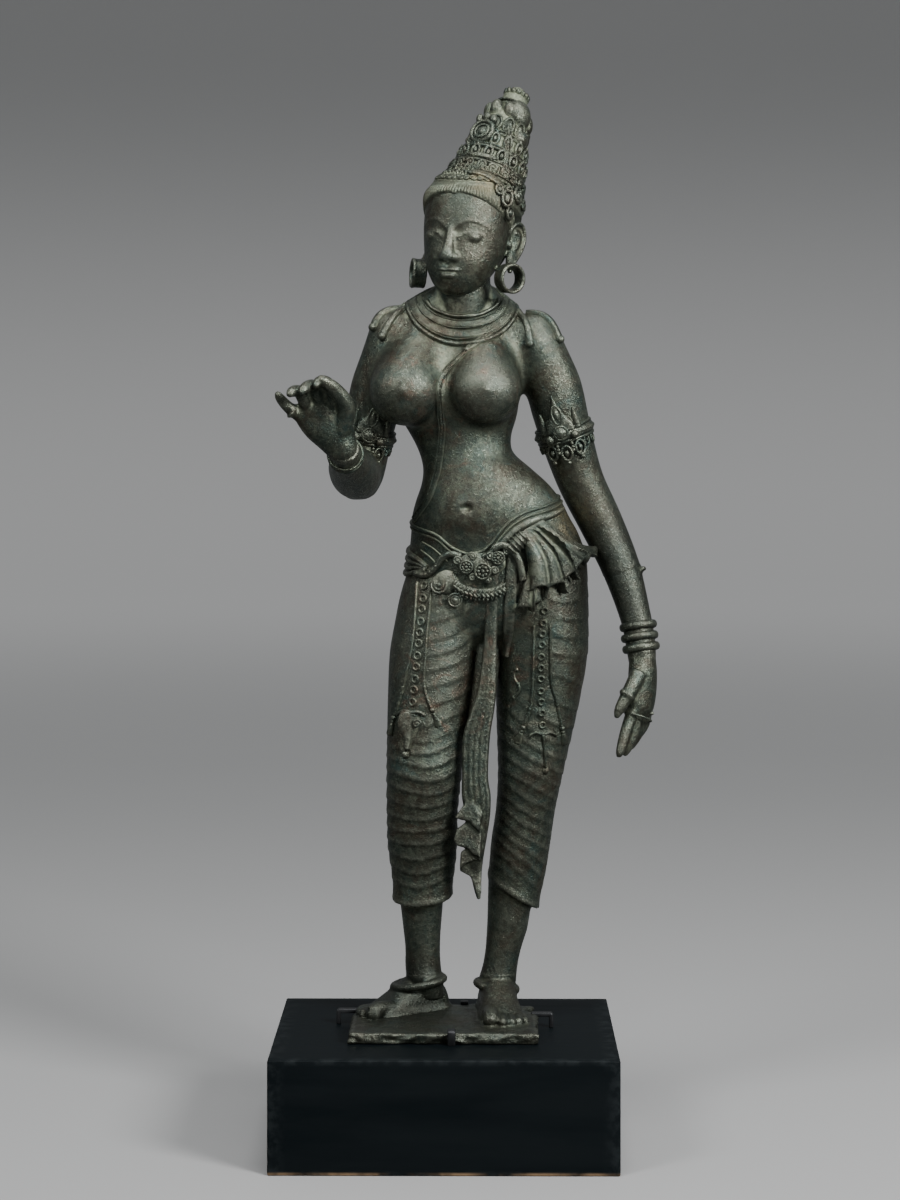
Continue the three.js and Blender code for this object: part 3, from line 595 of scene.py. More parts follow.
@functools.lru_cache(maxsize=1)
def bronze():
    look = bpy.context.scene.bronze_look
    paint = Paint("patinated_bronze", Metallic=look.metallic)
    hollow = paint.attribute("hollow")
    cloud = paint.noise(26, 6, 0.65, 0.5)
    drift = paint.noise(42, 6, 0.7, 0.8)
    mottle = paint.noise(210, 5, 0.65, 0.3)
    wrinkle = paint.noise(600, 6, 0.65, 0.4)
    grain = paint.noise(1600, 3, 0.6)

    def close_to(*places):
        """1 at the nearest of some places, fading to 0 at their reach."""
        return paint.most(*[
            paint.near(TO_FRAME @ vec(x, y, z), reach * SHARE) for x, y, z, reach in places])

    def by_height(low, high, to_low, to_high):
        """A share that changes between two heights in shares."""
        return paint.span(paint.height(), SOLE + low * SHARE, SOLE + high * SHARE, to_low, to_high)

    def tinge(share, name):
        """Lays one of the look's colours over the colour so far."""
        nonlocal colour
        colour = paint.blend(share, colour, tuple(getattr(look, name)))

    # Dark brown and green clouds with bluer drifts, broken up by a lighter mottling.
    colour = tuple(look.dark_green)
    tinge(paint.span(cloud, 0.4, 0.62), "dark_brown")
    tinge(paint.span(drift, 0.52, 0.68, 0, 0.75), "blue_green")
    tinge(paint.span(mottle, 0.42, 0.7, 0, 0.8), "olive")
    red = paint.times(paint.span(paint.noise(60, 6, 0.7, 0.8), 0.52, 0.66), look.red_share)
    tinge(paint.times(red, paint.plus(close_to(*RED_PLACES), 0.25)), "red_brown")
    tinge(paint.span(wrinkle, 0.34, 0.5, 0.75, 0), "pits_and_shade")
    # Pale bloom gathers in hollows, most of all on the crown, the collars, the belt and the plate.
    places = paint.most(
        by_height(600, 640, 0, 0.45),
        paint.times(close_to(COLLAR_PLACE), 0.6),
        paint.times(close_to(BELT_PLACE), 0.55),
        by_height(3, -2, 0, 0.25),
    )
    elsewhere = by_height(0, 60, 0.1, 0.3)
    bloom = paint.times(paint.span(hollow, 0.0, 0.7), paint.plus(places, elsewhere))
    patches = paint.times(paint.span(paint.noise(65, 6, 0.75, 0.5), 0.5, 0.68),
                          paint.plus(paint.times(places, 0.8), 0.06))
    bloom = paint.times(paint.plus(bloom, patches), paint.span(wrinkle, 0.3, 0.55, 0.35, 1))
    tinge(bloom, "verdigris")
    ochre = paint.times(close_to(*OCHRE_PLACES), paint.span(paint.noise(95, 6, 0.75, 0.5), 0.38, 0.55))
    tinge(paint.times(ochre, 0.5), "ochre")
    # Handling has brightened the ridges; painted highlights lighten the face, a thigh and a breast.
    ridges = paint.times(paint.span(hollow, -0.1, -0.7), paint.span(mottle, 0.35, 0.6, 0.35, 1))
    tinge(paint.times(ridges, 0.45), "rubbed_and_highlight")
    tinge(paint.times(close_to(FACE_PLACE), 0.2), "rubbed_and_highlight")
    tinge(paint.times(close_to(*PAINTED_LIGHT_PLACES), 0.2), "rubbed_and_highlight")
    # Painted shade darkens the feet and ankles, fading out upwards, and a few places more: the hanging
    # forearm, round her right foot and the sash's flaps.
    tinge(by_height(-2, 70, 0.5, 0), "pits_and_shade")
    painted_shade = paint.most(close_to(*PAINTED_SHADE_PLACES), paint.times(close_to(PAINTED_SHADE_FLAPS), 0.7))
    tinge(paint.times(painted_shade, 0.6), "pits_and_shade")
    rough = paint.span(wrinkle, 0.35, 0.65, look.roughness + 0.14, look.roughness - 0.06)
    rough = paint.plus(rough, paint.times(bloom, 0.35))
    fine = paint.bump(paint.span(grain, 0.3, 0.7), 0.3, 0.0002)
    skin_bump = paint.bump(wrinkle, look.wrinkles, 0.0010, fine)
    hammered = paint.bump(mottle, look.wrinkles * 0.4, 0.0010, skin_bump)
    return paint.give(Base_Color=colour, Roughness=rough, Normal=hammered)


@functools.lru_cache(maxsize=1)
def painted_wood():
    look = bpy.context.scene.plinth_look
    paint = Paint("black_painted_wood", Metallic=0.0, Specular_IOR_Level=0.05)
    grain = paint.noise(30, 5, 0.6, 0.2, paint.stretched((0.12, 1, 1)))
    colour = paint.blend(paint.span(grain, 0.35, 0.7), tuple(look.paint), tuple(look.paint_worn))
    chips = paint.times(paint.attribute("edge"), paint.span(paint.noise(120, 4, 0.7), 0.42, 0.62))
    colour = paint.blend(paint.times(chips, 0.6), colour, tuple(look.edge))
    foot = paint.span(paint.height(), PLINTH_LOW.z + 0.0032, PLINTH_LOW.z + 0.0012)
    foot = paint.times(foot, paint.span(paint.noise(18, 4, 0.7), 0.38, 0.6))
    colour = paint.blend(foot, colour, tuple(look.bare_wood))
    rough = paint.span(grain, 0.3, 0.7, look.roughness - 0.06, look.roughness + 0.06)
    dust = paint.bump(paint.noise(700, 2, 0.5), 0.12, 0.0002)
    brushed = paint.bump(grain, 0.15, 0.0004, dust)
    return paint.give(Base_Color=colour, Roughness=rough, Normal=brushed)


STEEL_DARK = (0.010, 0.011, 0.012)
STEEL_LIGHT = (0.035, 0.036, 0.038)


@functools.lru_cache(maxsize=1)
def black_steel():
    paint = Paint("blackened_steel", Metallic=0.7)
    cloud = paint.noise(160, 4, 0.6)
    colour = paint.blend(cloud, STEEL_DARK, STEEL_LIGHT)
    rough = paint.span(cloud, 0.3, 0.7, 0.34, 0.52)
    return paint.give(Base_Color=colour, Roughness=rough, Normal=paint.bump(cloud, 0.15, 0.0002))


# The body.

TORSO = Form([
    [286, 35, 18, 64, 32, 40],
    [298, 35, 18, 71, 37, 44],
    [322, 38, 18, 68, 40, 45],
    [340, 38.6, 16, 65.8, 39, 41],
    [357, 36.5, 13, 62, 37, 35],
    [369, 33.5, 11, 58.3, 36, 29],
    [381, 32, 9, 53.9, 34, 27],
    [393, 29.5, 8, 47.3, 31, 26],
    [405, 23.5, 8, 40, 28, 26],
    [417, 15.3, 9, 34.9, 26, 25],
    [429, 11.7, 10, 37.3, 27, 26],
    [441, 9.8, 11, 42.7, 30, 27],
    [456, 6.5, 12, 49, 34, 28],
    [476, 7, 13, 53, 34, 29],
    [493, 10, 14, 54, 29, 28],
    [505, 13, 14, 54, 25, 25],
    [514, 12, 13.5, 52, 21, 22],
    [521, 11, 14, 45.5, 20, 20],
    [528, 11, 14, 37, 17, 18],
    [536, 12.5, 13, 26, 15, 16],
    [544, 14, 11, 18, 13, 15],
    [556, 14, 8, 16, 12, 15],
])
NECK = [
    [13, 9, 506, 15], [13.5, 7.5, 517, 18], [14, 6.5, 530, 19.2], [14, 5.5, 544, 19.4],
    [14, 4.5, 558, 19.6],
]
BREASTS = [((-28.5, -13.5, 463.5), 27.8), ((29, -14.5, 463.5), 27.8)]
SHOULDERS = [((-37, 13, 502), (22, 21, 21)), ((65, 13, 499), (22.5, 21, 21))]
BUTTOCKS = [((8, 38, 302), (29, 25, 28)), ((64, 38, 305), (31, 26, 29))]
RIGHT_UPPER_ARM = [
    [-37, 13, 505, 20], [-49, 15, 468, 20.5], [-58, 20, 430, 18.8], [-64, 25, 400, 18],
    [-65, 26, 386, 13], [-65, 26, 381, 6],
]
RIGHT_FOREARM = [
    [-64, 32, 399, 14], [-66, 14, 400, 18.5], [-68, -10, 405, 17.8], [-70, -38, 410.5, 14],
    [-70.9, -56, 415, 12.2], [-71, -65, 417.5, 11.4], [-71, -74, 421, 11],
]
LEFT_ARM = [
    [64, 13, 505, 20], [79, 15, 468, 21.3], [90, 19, 428, 19.4], [100.5, 23, 396, 17.6],
    [115, 25, 366, 16.5], [130, 20, 332, 14.5], [140.5, 13.5, 297, 11.8], [144.5, 10, 276, 11.2],
    [146, 8, 260, 10.2],
]
NAVEL = (16, 376.5)
REPAIR = (135, 329)  # x and height of the mended break in the left forearm
REPAIR_KNOB = (147.5, 15, 330.5)
SEAM_RISE = 0.32
COLLAR_BONE = (14, 6, 503)
UNDER_RIBS = 392
SPINE = ([340, 420, 500], [36, 15, 12])  # heights and x of the hollow down her back
BREAST_BALLS = 7


def build_body():
    """The torso, the neck and both arms, cast as one."""
    bm = bmesh.new()
    form_skin(bm, TORSO, 318, 556)
    for centre, radii in SHOULDERS:
        ball(bm, centre, radii, 4)
    for centre, radius in BREASTS:
        # Balls that shrink towards the collar bone give a long upper slope.
        end = (mix(COLLAR_BONE[0], centre[0], 0.72), *COLLAR_BONE[1:])
        for i in range(BREAST_BALLS):
            t = i / (BREAST_BALLS - 1)
            ball(bm, [mix(a, b, t) for a, b in zip(centre, end)], mix(radius, 17, t), 4)
    for stations in (NECK, RIGHT_UPPER_ARM, RIGHT_FOREARM, LEFT_ARM):
        limb(bm, stations, around=40)
    ball(bm, REPAIR_KNOB, (2.4, 2.4, 2.6))
    casting(bm, "figure_body", "skin", soften=6, carve=carve_body, replaces="figure")


def carve_body(surface):
    """Blends the shoulders, the breasts and the waist, then cuts the small forms."""
    x, y, z = surface.points.T
    joins = np.zeros(len(x))
    for (cx, cy, cz), _ in SHOULDERS:
        reach = np.sqrt((x - cx) ** 2 + (y - cy) ** 2 + ((z - cz) / 1.3) ** 2)
        joins = np.maximum(joins, ease(44, 26, reach))
    joins *= ease(518, 508, z)
    for (cx, cy, cz), _ in BREASTS:
        reach = np.hypot(x - cx, (z - cz) * 0.9)
        round_it = ease(50, 34, reach) * ease(14, 4, y)
        above = ease(-16, 24, z - cz) * ease(54, 42, z - cz) * ease(46, 28, abs(x - cx)) * ease(14, 6, y)
        joins = np.maximum(joins, np.maximum(above, round_it * 0.4))
    surface.relax(110, joins)
    surface.relax(14, ease(22, 10, abs(z - UNDER_RIBS)) * 0.6)
    x, y, z = surface.points.T
    before = y < 0
    fall = (x - NAVEL[0]) ** 2 + ((z - NAVEL[1]) / 0.85) ** 2
    amount = -3.4 * np.exp(-fall / 9) * before
    lid = (x - NAVEL[0]) ** 2 / 30 + (z - NAVEL[1] - 3.4) ** 2 / 2.2
    amount += 0.5 * np.exp(-lid) * before
    amount += 1.2 * np.exp(-fall / 500) * before
    for (cx, cy, cz), _ in BREASTS:
        fall = (x - cx + math.copysign(2, 15 - cx)) ** 2 + (z - cz + 1) ** 2
        amount += 1.0 * np.exp(-fall / 7) * (y < cy)
    spine = np.exp(-(x - np.interp(z, *SPINE)) ** 2 / 40)
    amount -= 2.0 * spine * (y > 10) * ease(330, 360, z) * ease(535, 500, z)
    arm = ease(112, 118, x)
    seam = z - REPAIR[1] - (x - REPAIR[0]) * SEAM_RISE - np.sin(x * 0.9) * 0.5
    amount += arm * (0.2 * ease(0, 0.8, seam) * ease(9, 2, seam) - 0.5 * np.exp(-(seam / 0.7) ** 2))
    surface.push(amount)


# The dress: a thin cloth wrapped round each leg, whose folds step out along their lower edges.

RIGHT_LEG = Form([
    [322, 2, 18, 33, 36, 38],
    [298, -3, 18, 33.5, 36, 38],
    [269, -7.8, 16, 33.5, 34, 35],
    [238, -10.7, 13, 32, 31, 32],
    [209, -13.6, 9, 29.6, 28.5, 29],
    [180, -15.6, 6, 27.9, 27, 26],
    [152, -17, 8, 26.4, 23.5, 28],
    [125, -17, 12, 25.7, 22, 27],
    [102, -16.7, 15, 23, 20, 23],
    [74, -17.8, 17, 20, 18.5, 20],
])
LEFT_LEG = Form([
    [322, 70, 18, 36, 36, 38],
    [298, 72.9, 18, 33.9, 36, 38],
    [269, 71.8, 17, 34.2, 34, 36],
    [238, 69.2, 16, 31.6, 31, 33],
    [209, 66.3, 14, 28, 28, 29],
    [180, 63.3, 13, 24.2, 25, 25],
    [152, 59.6, 16, 22, 22, 26],
    [125, 55.8, 19, 22, 21, 25],
    [102, 53.3, 21, 20.9, 19, 22],
    [74, 49.5, 22, 18.2, 17.5, 19],
])
RIGHT_SHANK = Form([
    [96, -17.9, 17, 17.4, 16, 18],
    [62, -17.4, 20, 14.1, 13.5, 15.5],
    [47, -17, 21, 13, 12.5, 14.5],
    [35, -16.8, 22, 13.3, 13, 14.5],
    [24, -15.5, 22, 13.5, 14, 14],
    [8, -13, 24, 13, 13, 13],
])
LEFT_SHANK = Form([
    [108, 50, 21, 18, 16, 18],
    [72, 47, 22, 15.8, 14.5, 17],
    [62, 46, 23, 15.2, 14, 16],
    [47, 43.2, 24, 13.4, 13, 15],
    [35, 41, 25, 13, 13, 15],
    [24, 39, 26, 13.8, 14, 15],
    [8, 38, 28, 13, 13, 13],
])
HIPS = Form([
    [264, 34, 18, 5, 8, 12],
    [275, 34.5, 18, 30, 20, 26],
    [286, 35, 18, 60, 31, 39],
    *TORSO.rows[1:5],
])
LEG_HEIGHTS = [74, 152, 238, 322]  # where the legs' middles and half widths are read for the folds
RIGHT_MIDDLES = [RIGHT_LEG.section(height)[0] for height in LEG_HEIGHTS]
LEFT_MIDDLES = [LEFT_LEG.section(height)[0] for height in LEG_HEIGHTS]
HALF_WIDTHS = [20, 25, 32, 34]
LOWEST_FOLD = 86
SHIN_PITCH = 10  # between folds on the lower leg
THIGH_PITCH = 12.8
PITCH_CHANGE = 212  # the height where the one takes over from the other
HEM_BAND = 9  # height of the plain band along each hem


def right_hem(angle):
    return 85.5 - 4.5 * max(math.sin(angle), 0) + 1.5 * math.cos(angle)


def left_hem(angle):
    return 89 - 12.5 * math.cos(angle) - 2 * max(math.sin(angle), 0)


def leg_skin(bm, form, hem):
    """The cloth round a leg, flared along its hem."""
    top = form.rows[0][0]

    def place(u, w):
        angle = u * TURN
        low = hem(angle)
        height = mix(low, top, w)
        above = height - low
        flare = 1.6 * ease(HEM_BAND, 0, above) + 0.5 * ease(1.2, 0.6, abs(above - HEM_BAND))
        return form.at(height, angle, float(flare))

    skin(bm, place, 88, 118)


def build_dress():
    """The hips and the legs with the cloth round them."""
    bm = bmesh.new()
    form_skin(bm, HIPS, 264, 346)
    for centre, radii in BUTTOCKS:
        ball(bm, centre, radii, 4)
    leg_skin(bm, RIGHT_LEG, right_hem)
    leg_skin(bm, LEFT_LEG, left_hem)
    form_skin(bm, RIGHT_SHANK, 10, 96, 64)
    form_skin(bm, LEFT_SHANK, 10, 106, 64)
    casting(bm, "figure_dress", "skin", soften=5, carve=carve_dress)


def carve_dress(surface):
    """Cuts the folds: each steps out along its lower edge, and is softer at the sides and behind."""
    x, y, z = surface.points.T
    surface.relax(60, ease(270, 290, z) * ease(346, 338, z) * 0.9)
    x, y, z = surface.points.T
    right_x = np.interp(z, LEG_HEIGHTS, RIGHT_MIDDLES)
    left_x = np.interp(z, LEG_HEIGHTS, LEFT_MIDDLES)
    half = np.interp(z, LEG_HEIGHTS, HALF_WIDTHS)
    on_right = x < (right_x + left_x) / 2
    u = np.where(on_right, x - right_x, x - left_x) / half
    before = ease(24, 10, y)
    # The folds' droop across each leg, in front; behind they run level.
    high = ease(185, 250, z)
    right_droop = (5 * u**2 + 3 * np.maximum(u, 0) ** 2) * (1 - high) + (9 * u + 6 * u**2) * high
    steep = 24 - 30 * np.sqrt(np.clip(u + 1, 0, 2))
    left_droop = mix(steep, 3 - 8 * u + 5 * u**2, ease(225, 275, z))
    left_droop = mix(-half * u * 0.8, left_droop, ease(110, 170, z))
    droop = np.where(on_right, right_droop, left_droop) * before
    level = z - droop + 0.9 * np.sin(x * 0.13 + z * 0.05) + 0.7 * np.sin(z * 0.11 - x * 0.06 + 2)
    phase = np.where(level < PITCH_CHANGE, (level - LOWEST_FOLD) / SHIN_PITCH,
                     (PITCH_CHANGE - LOWEST_FOLD) / SHIN_PITCH + (level - PITCH_CHANGE) / THIGH_PITCH)
    fold = 1 - (phase - np.floor(phase))
    hem = np.where(on_right, 95.5 - 4 * before * np.cos(np.clip(u, -1, 1) * 1.5), 98 - 11.5 * u)
    cloth = ease(0, 3, z - hem) * ease(330, 312, z)
    middle = ease(222, 200, z)
    soft_right = mix(0.6 * ease(-0.45, -0.1, u), 1.05 * ease(222, 185, z), middle)
    soft_left = mix(0.6 * ease(0.05, 0.4, u), 0.85, ease(250, 215, z))
    strength = np.where(on_right, soft_right, soft_left) * mix(0.4, 1.0, before)
    surface.push((fold - 0.4) * cloth * strength)
    surface.relax(1)


# The feet on what remains of the cast base plate.

BASE_PLATE = 139, 104
PLATE_CENTRE = (-0.5, -6)
PLATE_DEPTH = PLATE_THICKNESS / SHARE
FLAT_PART = 0.38  # how much of the plate's skin, from its middle out, is flat on each face
# The plate's broken outline, as shares of its half width and half depth.
PLATE_OUTLINE = [
    (-1, -0.97), (-0.4, -0.99), (0.1, -1), (1, -1), (1, 0.35), (0.86, 0.5), (0.97, 0.78),
    (0.4, 1), (-0.5, 0.98), (-0.96, 0.9), (-1, 0.1),
]
FEET = [  # heel, toes, which side the big toe is on, and length
    ((-1, 37, 0), (-56, 1, 0), 1, 0.9),
    ((36.5, 47, 0), (43.5, -24, 0), -1, 1),
]
# Along the foot from the heel: half width, height of the instep, and shift to the big toe's side.
FOOT_SECTIONS = [
    [0, 7, 9, 0], [4, 12, 18, 0], [12, 14.2, 24, 0], [26, 14.6, 29, 0], [41, 15, 22.5, 0.5],
    [57, 16.4, 13, 0.5], [65, 15.6, 8.4, 0.5], [69, 12, 4.6, 0.5],
]
TOE_ROOT = 58  # how far from the heel the toes begin inside the foot
TOES = [  # where each toe starts, how far it reaches, its radius and how far it spreads
    [9.8, 82, 5.9, 0.8], [1.6, 83, 3.6, 0.4], [-4.2, 81, 3.3, -0.2], [-9.4, 77.5, 3.1, -0.8],
    [-13.8, 73, 2.9, -1.4],
]
ANKLET_STEPS = 96
ANKLETS = [  # centre, radii across and deep, and how the ring tips sideways
    ((-20, 20, 21.8), (18.8, 16.8), -0.17), ((38.0, 25.5, 18.2), (14.9, 16), 0.17),
]


def plate_edge(u):
    """The plate's broken outline at u, from 0 to 1, about its own middle."""
    count = len(PLATE_OUTLINE)
    i = int(u * count) % count
    t = u * count - int(u * count)
    (x0, y0), (x1, y1) = PLATE_OUTLINE[i], PLATE_OUTLINE[(i + 1) % count]
    return vec(mix(x0, x1, t) * BASE_PLATE[0] / 2, mix(y0, y1, t) * BASE_PLATE[1] / 2, 0)


def build_base():
    """The base plate with the feet and the anklets on it."""
    bm = bmesh.new()
    rim = PLATE_DEPTH / 2

    def place(u, w):
        # w runs from the underside's middle out, up the broken edge, and in over the top.
        edge = plate_edge(u % 1)
        across = clamp(min(w, 1 - w) / FLAT_PART)
        level = mix(-PLATE_DEPTH, 0, clamp((w - FLAT_PART) / (1 - 2 * FLAT_PART)))
        if w < FLAT_PART:
            level += 0.02
        crumble = noise.noise(edge * 0.11 + vec(0, 0, level * 0.3)) * 2.2 * across**6
        inward = (1.2 + 1.0 * abs(level + rim) / rim + crumble) if across > 0.99 else 1.8
        spot = edge * across - edge.normalized() * max(inward, 0) * across
        return vec(spot.x + PLATE_CENTRE[0], spot.y + PLATE_CENTRE[1], level)

    skin(bm, place, 220, 60)
    for heel, toes, inner, length in FEET:
        foot_shells(bm, Vector(heel), Vector(toes), inner, length)
    form_skin(bm, RIGHT_SHANK, 14, 30, 64)
    form_skin(bm, LEFT_SHANK, 14, 30, 64)
    for centre, (across, deep), tip in ANKLETS:
        ring = []
        for i in range(ANKLET_STEPS + 1):
            a = i / ANKLET_STEPS * TURN
            out = vec(math.cos(a), math.sin(a), 0)
            ring.append((vec(*centre) + vec(across * out.x, deep * out.y, -across * out.x * tip), out))
        strap(bm, ring, 2.9, 2.7, around=16, loop=True)
    casting(bm, "figure_base", "feet_skin", soften=2, carve=carve_base)


def foot_shells(bm, heel, toes, inner, length):
    """One foot with its toes and nails, along the line from heel to toes."""
    along = (toes - heel).normalized()
    side = vec(0, 0, 1).cross(along) * inner

    def spot(far, across, up):
        return heel + along * far * length + side * across + vec(0, 0, up)

    def place(u, w):
        far, half, high, shift = spline(FOOT_SECTIONS, w)
        c, s = math.cos(u * TURN), math.sin(u * TURN)
        squared = abs(c) ** 0.8 * math.copysign(1, c)
        up = high * max(s, 0) ** 0.8 if s > 0 else 2.5 * s
        return spot(far, half * squared + shift, up)

    skin(bm, place, 56, 48)
    for across, reach, radius, spread in TOES:
        start = spot(TOE_ROOT, across * 0.95, radius * 1.1)
        joint = spot(mix(TOE_ROOT, reach, 0.55), across + spread * 0.4, radius * 1.25)
        tip = spot(reach - radius * 0.8, across + spread, radius * 0.8)
        end = spot(reach, across + spread, radius * 0.6)
        limb(bm, [[*start, radius * 0.95], [*joint, radius * 0.92], [*tip, radius], [*end, radius * 0.4]],
             side, 20, 1.2)
        nail = spot(reach - radius * 0.75, across + spread, radius * 1.62)
        turn = turned(side, along, vec(0, 0, 1))
        ball(bm, nail, (radius * 0.54, radius * 0.66, radius * 0.2), 3, turn)


def carve_base(surface):
    """Makes the plate's top uneven and its broken edge gritty, and keeps its underside flat."""
    x, y, z = surface.points.T
    top = ease(-2.5, 0, z) * ease(7, 1, z)
    wave = np.array([noise.fractal(Vector(p) * 0.05, 0.9, 2.1, 4) for p in surface.points])
    grit = np.array([noise.noise(Vector(p) * 0.35) for p in surface.points])
    edge = ease(0.4, -1.2, z)
    amount = wave * mix(0.9, 1.3, edge) * ease(6, 1, z) + grit * 0.5 * edge
    # The ground swells a little round each foot, as the wax was pressed there.
    for heel, toes, _, _ in FEET:
        middle = (np.array(heel) + np.array(toes)) / 2
        fall = np.hypot(x - middle[0], y - middle[1])
        amount += top * 1.6 * ease(50, 30, fall)
    keep = ease(-PLATE_DEPTH + 0.2, -PLATE_DEPTH + 1.2, z)
    surface.push(amount * keep)
    surface.points[:, 2] = np.maximum(surface.points[:, 2], -PLATE_DEPTH + 0.05)


# The hands.

RAISED_PALM = [
    [-71, -64, 417, 11.6, 11], [-72, -70, 419, 11, 9.8], [-78, -73, 430, 14.8, 9.6],
    [-85, -75, 441, 18, 9], [-89.5, -76, 451, 19.2, 7.8], [-91, -76.5, 456, 17, 5],
]
RAISED_FINGERS = [
    [[-78, -76, 450, 5.6], [-82, -86, 466, 4.9], [-88, -97, 468, 4.1], [-90.5, -101.5, 464, 2]],
    [[-87, -76, 450, 5.6], [-92, -87, 464.5, 4.8], [-98, -98, 463.5, 4.1], [-100.5, -102, 459.5, 2]],
    [[-96, -76, 447, 5.4], [-102, -87, 460.5, 4.6], [-107, -97, 461, 3.9], [-109, -101, 458, 2]],
    [[-101, -75, 443, 5.2], [-110.5, -80, 450, 4.3], [-116.5, -85, 457, 3.4], [-118.5, -87, 461, 1.7]],
    [[-74, -75, 430, 7.2], [-69.5, -84, 450, 6.3], [-77, -93, 463, 5], [-86.5, -99, 470, 3.3],
     [-88.5, -100, 471.5, 1.5]],
]
HANGING_PALM = [
    [146, 8, 272, 10.3, 9.6], [146, 8, 264, 10.3, 9.6], [146, 6, 254, 11.6, 9.8],
    [145.5, 4, 240, 12.2, 9], [144, 2, 228, 11.4, 7.8], [142, 1, 220, 8.5, 5],
]
HANGING_FINGERS = [
    [[139.5, -2, 230, 5], [132.5, -7, 210, 4.4], [128.4, -10, 197, 3.2], [127.2, -10.5, 193, 1.4]],
    [[143, 0, 229, 5.1], [138.3, -2.5, 209, 4.5], [133, -4.8, 197, 3.2], [131.8, -5, 193.5, 1.4]],
    [[147, 4, 229, 4.9], [143.2, 2.6, 212, 4.3], [137.6, 0.4, 201, 3.1], [136.2, 0, 197.5, 1.4]],
    [[149.5, 8, 229, 4.5], [147.4, 7.7, 216, 4], [142.8, 6.2, 207, 2.8], [141.4, 6, 203.5, 1.3]],
    [[143, -1, 254, 6.4], [134.8, -8.2, 240, 5.3], [127.8, -11.5, 228, 3.8], [125.6, -12.5, 222, 1.6]],
]


PALM_CUP = (-90, 441)  # x and height of the hollow of the raised palm
THUMB_RING = (133.6, -8.8, 238.5)
HAND_RING = (142, 0.5, 222)
HAND_RING_KNOB = (151.5, 1, 224)
LITTLE_RING = (-108.5, -78.5, 447.5)


def build_hands():
    bm = bmesh.new()
    limb(bm, RAISED_PALM, (0.95, 0, 0.3), 40, 1.5)
    limb(bm, HANGING_PALM, (0.7, 0.7, 0), 40, 1.5)
    for stations in RAISED_FINGERS + HANGING_FINGERS:
        limb(bm, stations, (0.2, 1, 0.1), 20, 1.2)
    # Rings: on the hanging hand's thumb and fingers, and on the raised little finger.
    torus(bm, vec(*THUMB_RING), (-0.75, -0.35, -1), 5.2, (1.3, 1.7), 40, 8)
    torus(bm, vec(*HAND_RING), (-0.35, -0.2, -1), 10.6, (1.0, 1.3), 48, 8)
    ball(bm, HAND_RING_KNOB, (3.2, 1.6, 1.6))
    torus(bm, vec(*LITTLE_RING), (-1, -0.3, 0.55), 4.8, (1.0, 1.2), 32, 8)
    casting(bm, "figure_hands", "hand_skin", soften=3, carve=carve_hands)


def carve_hands(surface):
    x, y, z = surface.points.T
    bowl = np.exp(-(((x - PALM_CUP[0]) / 9) ** 2 + ((z - PALM_CUP[1]) / 9) ** 2)) * (y < -78)
    surface.push(-1.8 * bowl)
    surface.relax(8, bowl)


# Ornaments that many pieces share. Each lies at a point, with its outward and upward ways.

PETALS = 8
CURL_TURNS = 1.4
CURL_STEPS = 26


def ways_at(out, up=(0, 0, 1)):
    out = Vector(out).normalized()
    up = (Vector(up) - out * out.dot(Vector(up))).normalized()
    return out, up, up.cross(out)


def oval(bm, point, out, wide, tall, thick, up=(0, 0, 1), heart=0.6):
    """A rimmed oval boss; heart is the size of the swelling inside it, or 0 for none."""
    out, up, side = ways_at(out, up)
    count = max(20, round((wide + tall) * 4))
    ring = []
    for i in range(count + 1):
        a = i / count * TURN
        ring.append((point + side * wide * math.cos(a) + up * tall * math.sin(a), out))
    strap(bm, ring, thick, thick, loop=True)
    if heart:
        ball(bm, point, (wide * heart, tall * heart, thick * 1.7), 3, turned(side, up, out))


def rosette(bm, point, out, radius, up=(0, 0, 1)):
    """A ring of small petals in a rim, round a bead."""
    out, up, side = ways_at(out, up)
    oval(bm, point, out, radius * 0.84, radius * 0.84, radius * 0.17, up, 0)
    for i in range(PETALS):
        a = i / PETALS * TURN
        way = side * math.cos(a) + up * math.sin(a)
        ball(bm, point + way * radius * 0.5 + out * radius * 0.14, radius * 0.22, 2)
    ball(bm, point + out * radius * 0.24, radius * 0.26, 2)


def curl(bm, point, out, size, hand=1, up=(0, 0, 1), thick=0.8):
    """A scroll that winds in to a bead; hand is -1 for one that winds the other way."""
    out, up, side = ways_at(out, up)
    laid = []
    for i in range(CURL_STEPS + 1):
        t = i / CURL_STEPS
        a, reach = t * CURL_TURNS * TURN, size * (1 - 0.78 * t)
        laid.append((point + side * hand * reach * math.cos(a) + up * reach * math.sin(a), out))
    strap(bm, laid, thick, thick)
    ball(bm, point, thick * 1.3, 2)


# Jewels on the neck, chest and arms.

COLLARS = [  # reach to each side, drop in front, half width, thickness, beads and raised edges
    (41, 33, 2.1, 2.6, 92, 0),
    (39.3, 29.6, 0.8, 1.8, 0, 0),
    (36.4, 25.4, 3.7, 1.3, 0, 0.5),
    (33.6, 21.2, 0.8, 1.9, 0, 0),
    (31.2, 18, 2.9, 1.3, 0, 0.5),
    (28.8, 14.9, 0.8, 1.9, 0, 0),
    (26, 11.6, 1.7, 2.5, 0, 0),
]
COLLAR_CENTRE = vec(13, 13, 529)
COLLAR_DEEP = 26
COLLAR_RISE = 11  # how much higher they lie at the back of the neck
COLLAR_STEPS = 200
THREAD = [
    (47, 517.5), (40.2, 510.2), (25.6, 498.5), (16.8, 491.9), (6.6, 482.4), (-2.2, 472.2),
    (-5.1, 460.5), (-4.4, 448.8), (-2.2, 437.1), (-2.9, 422.5), (-4.4, 407.9), (-5.4, 402),
    (-10.9, 385.2), (-19, 372.5), (-23, 367),
]
THREAD_BEHIND = [(-22, 367), (-8, 392), (4, 425), (18, 465), (34, 500), (46, 518)]
RIBBONS = [
    [(-30, 8, 524), (-38, 0, 515), (-46, -5, 502)], [(-28, 14, 525), (-41, 8, 521), (-53, 2, 509)],
    [(54, 6, 522), (60, -2, 511), (62.5, -6, 497)], [(60, 10, 521), (76, 5, 514), (87, 0, 501)],
]
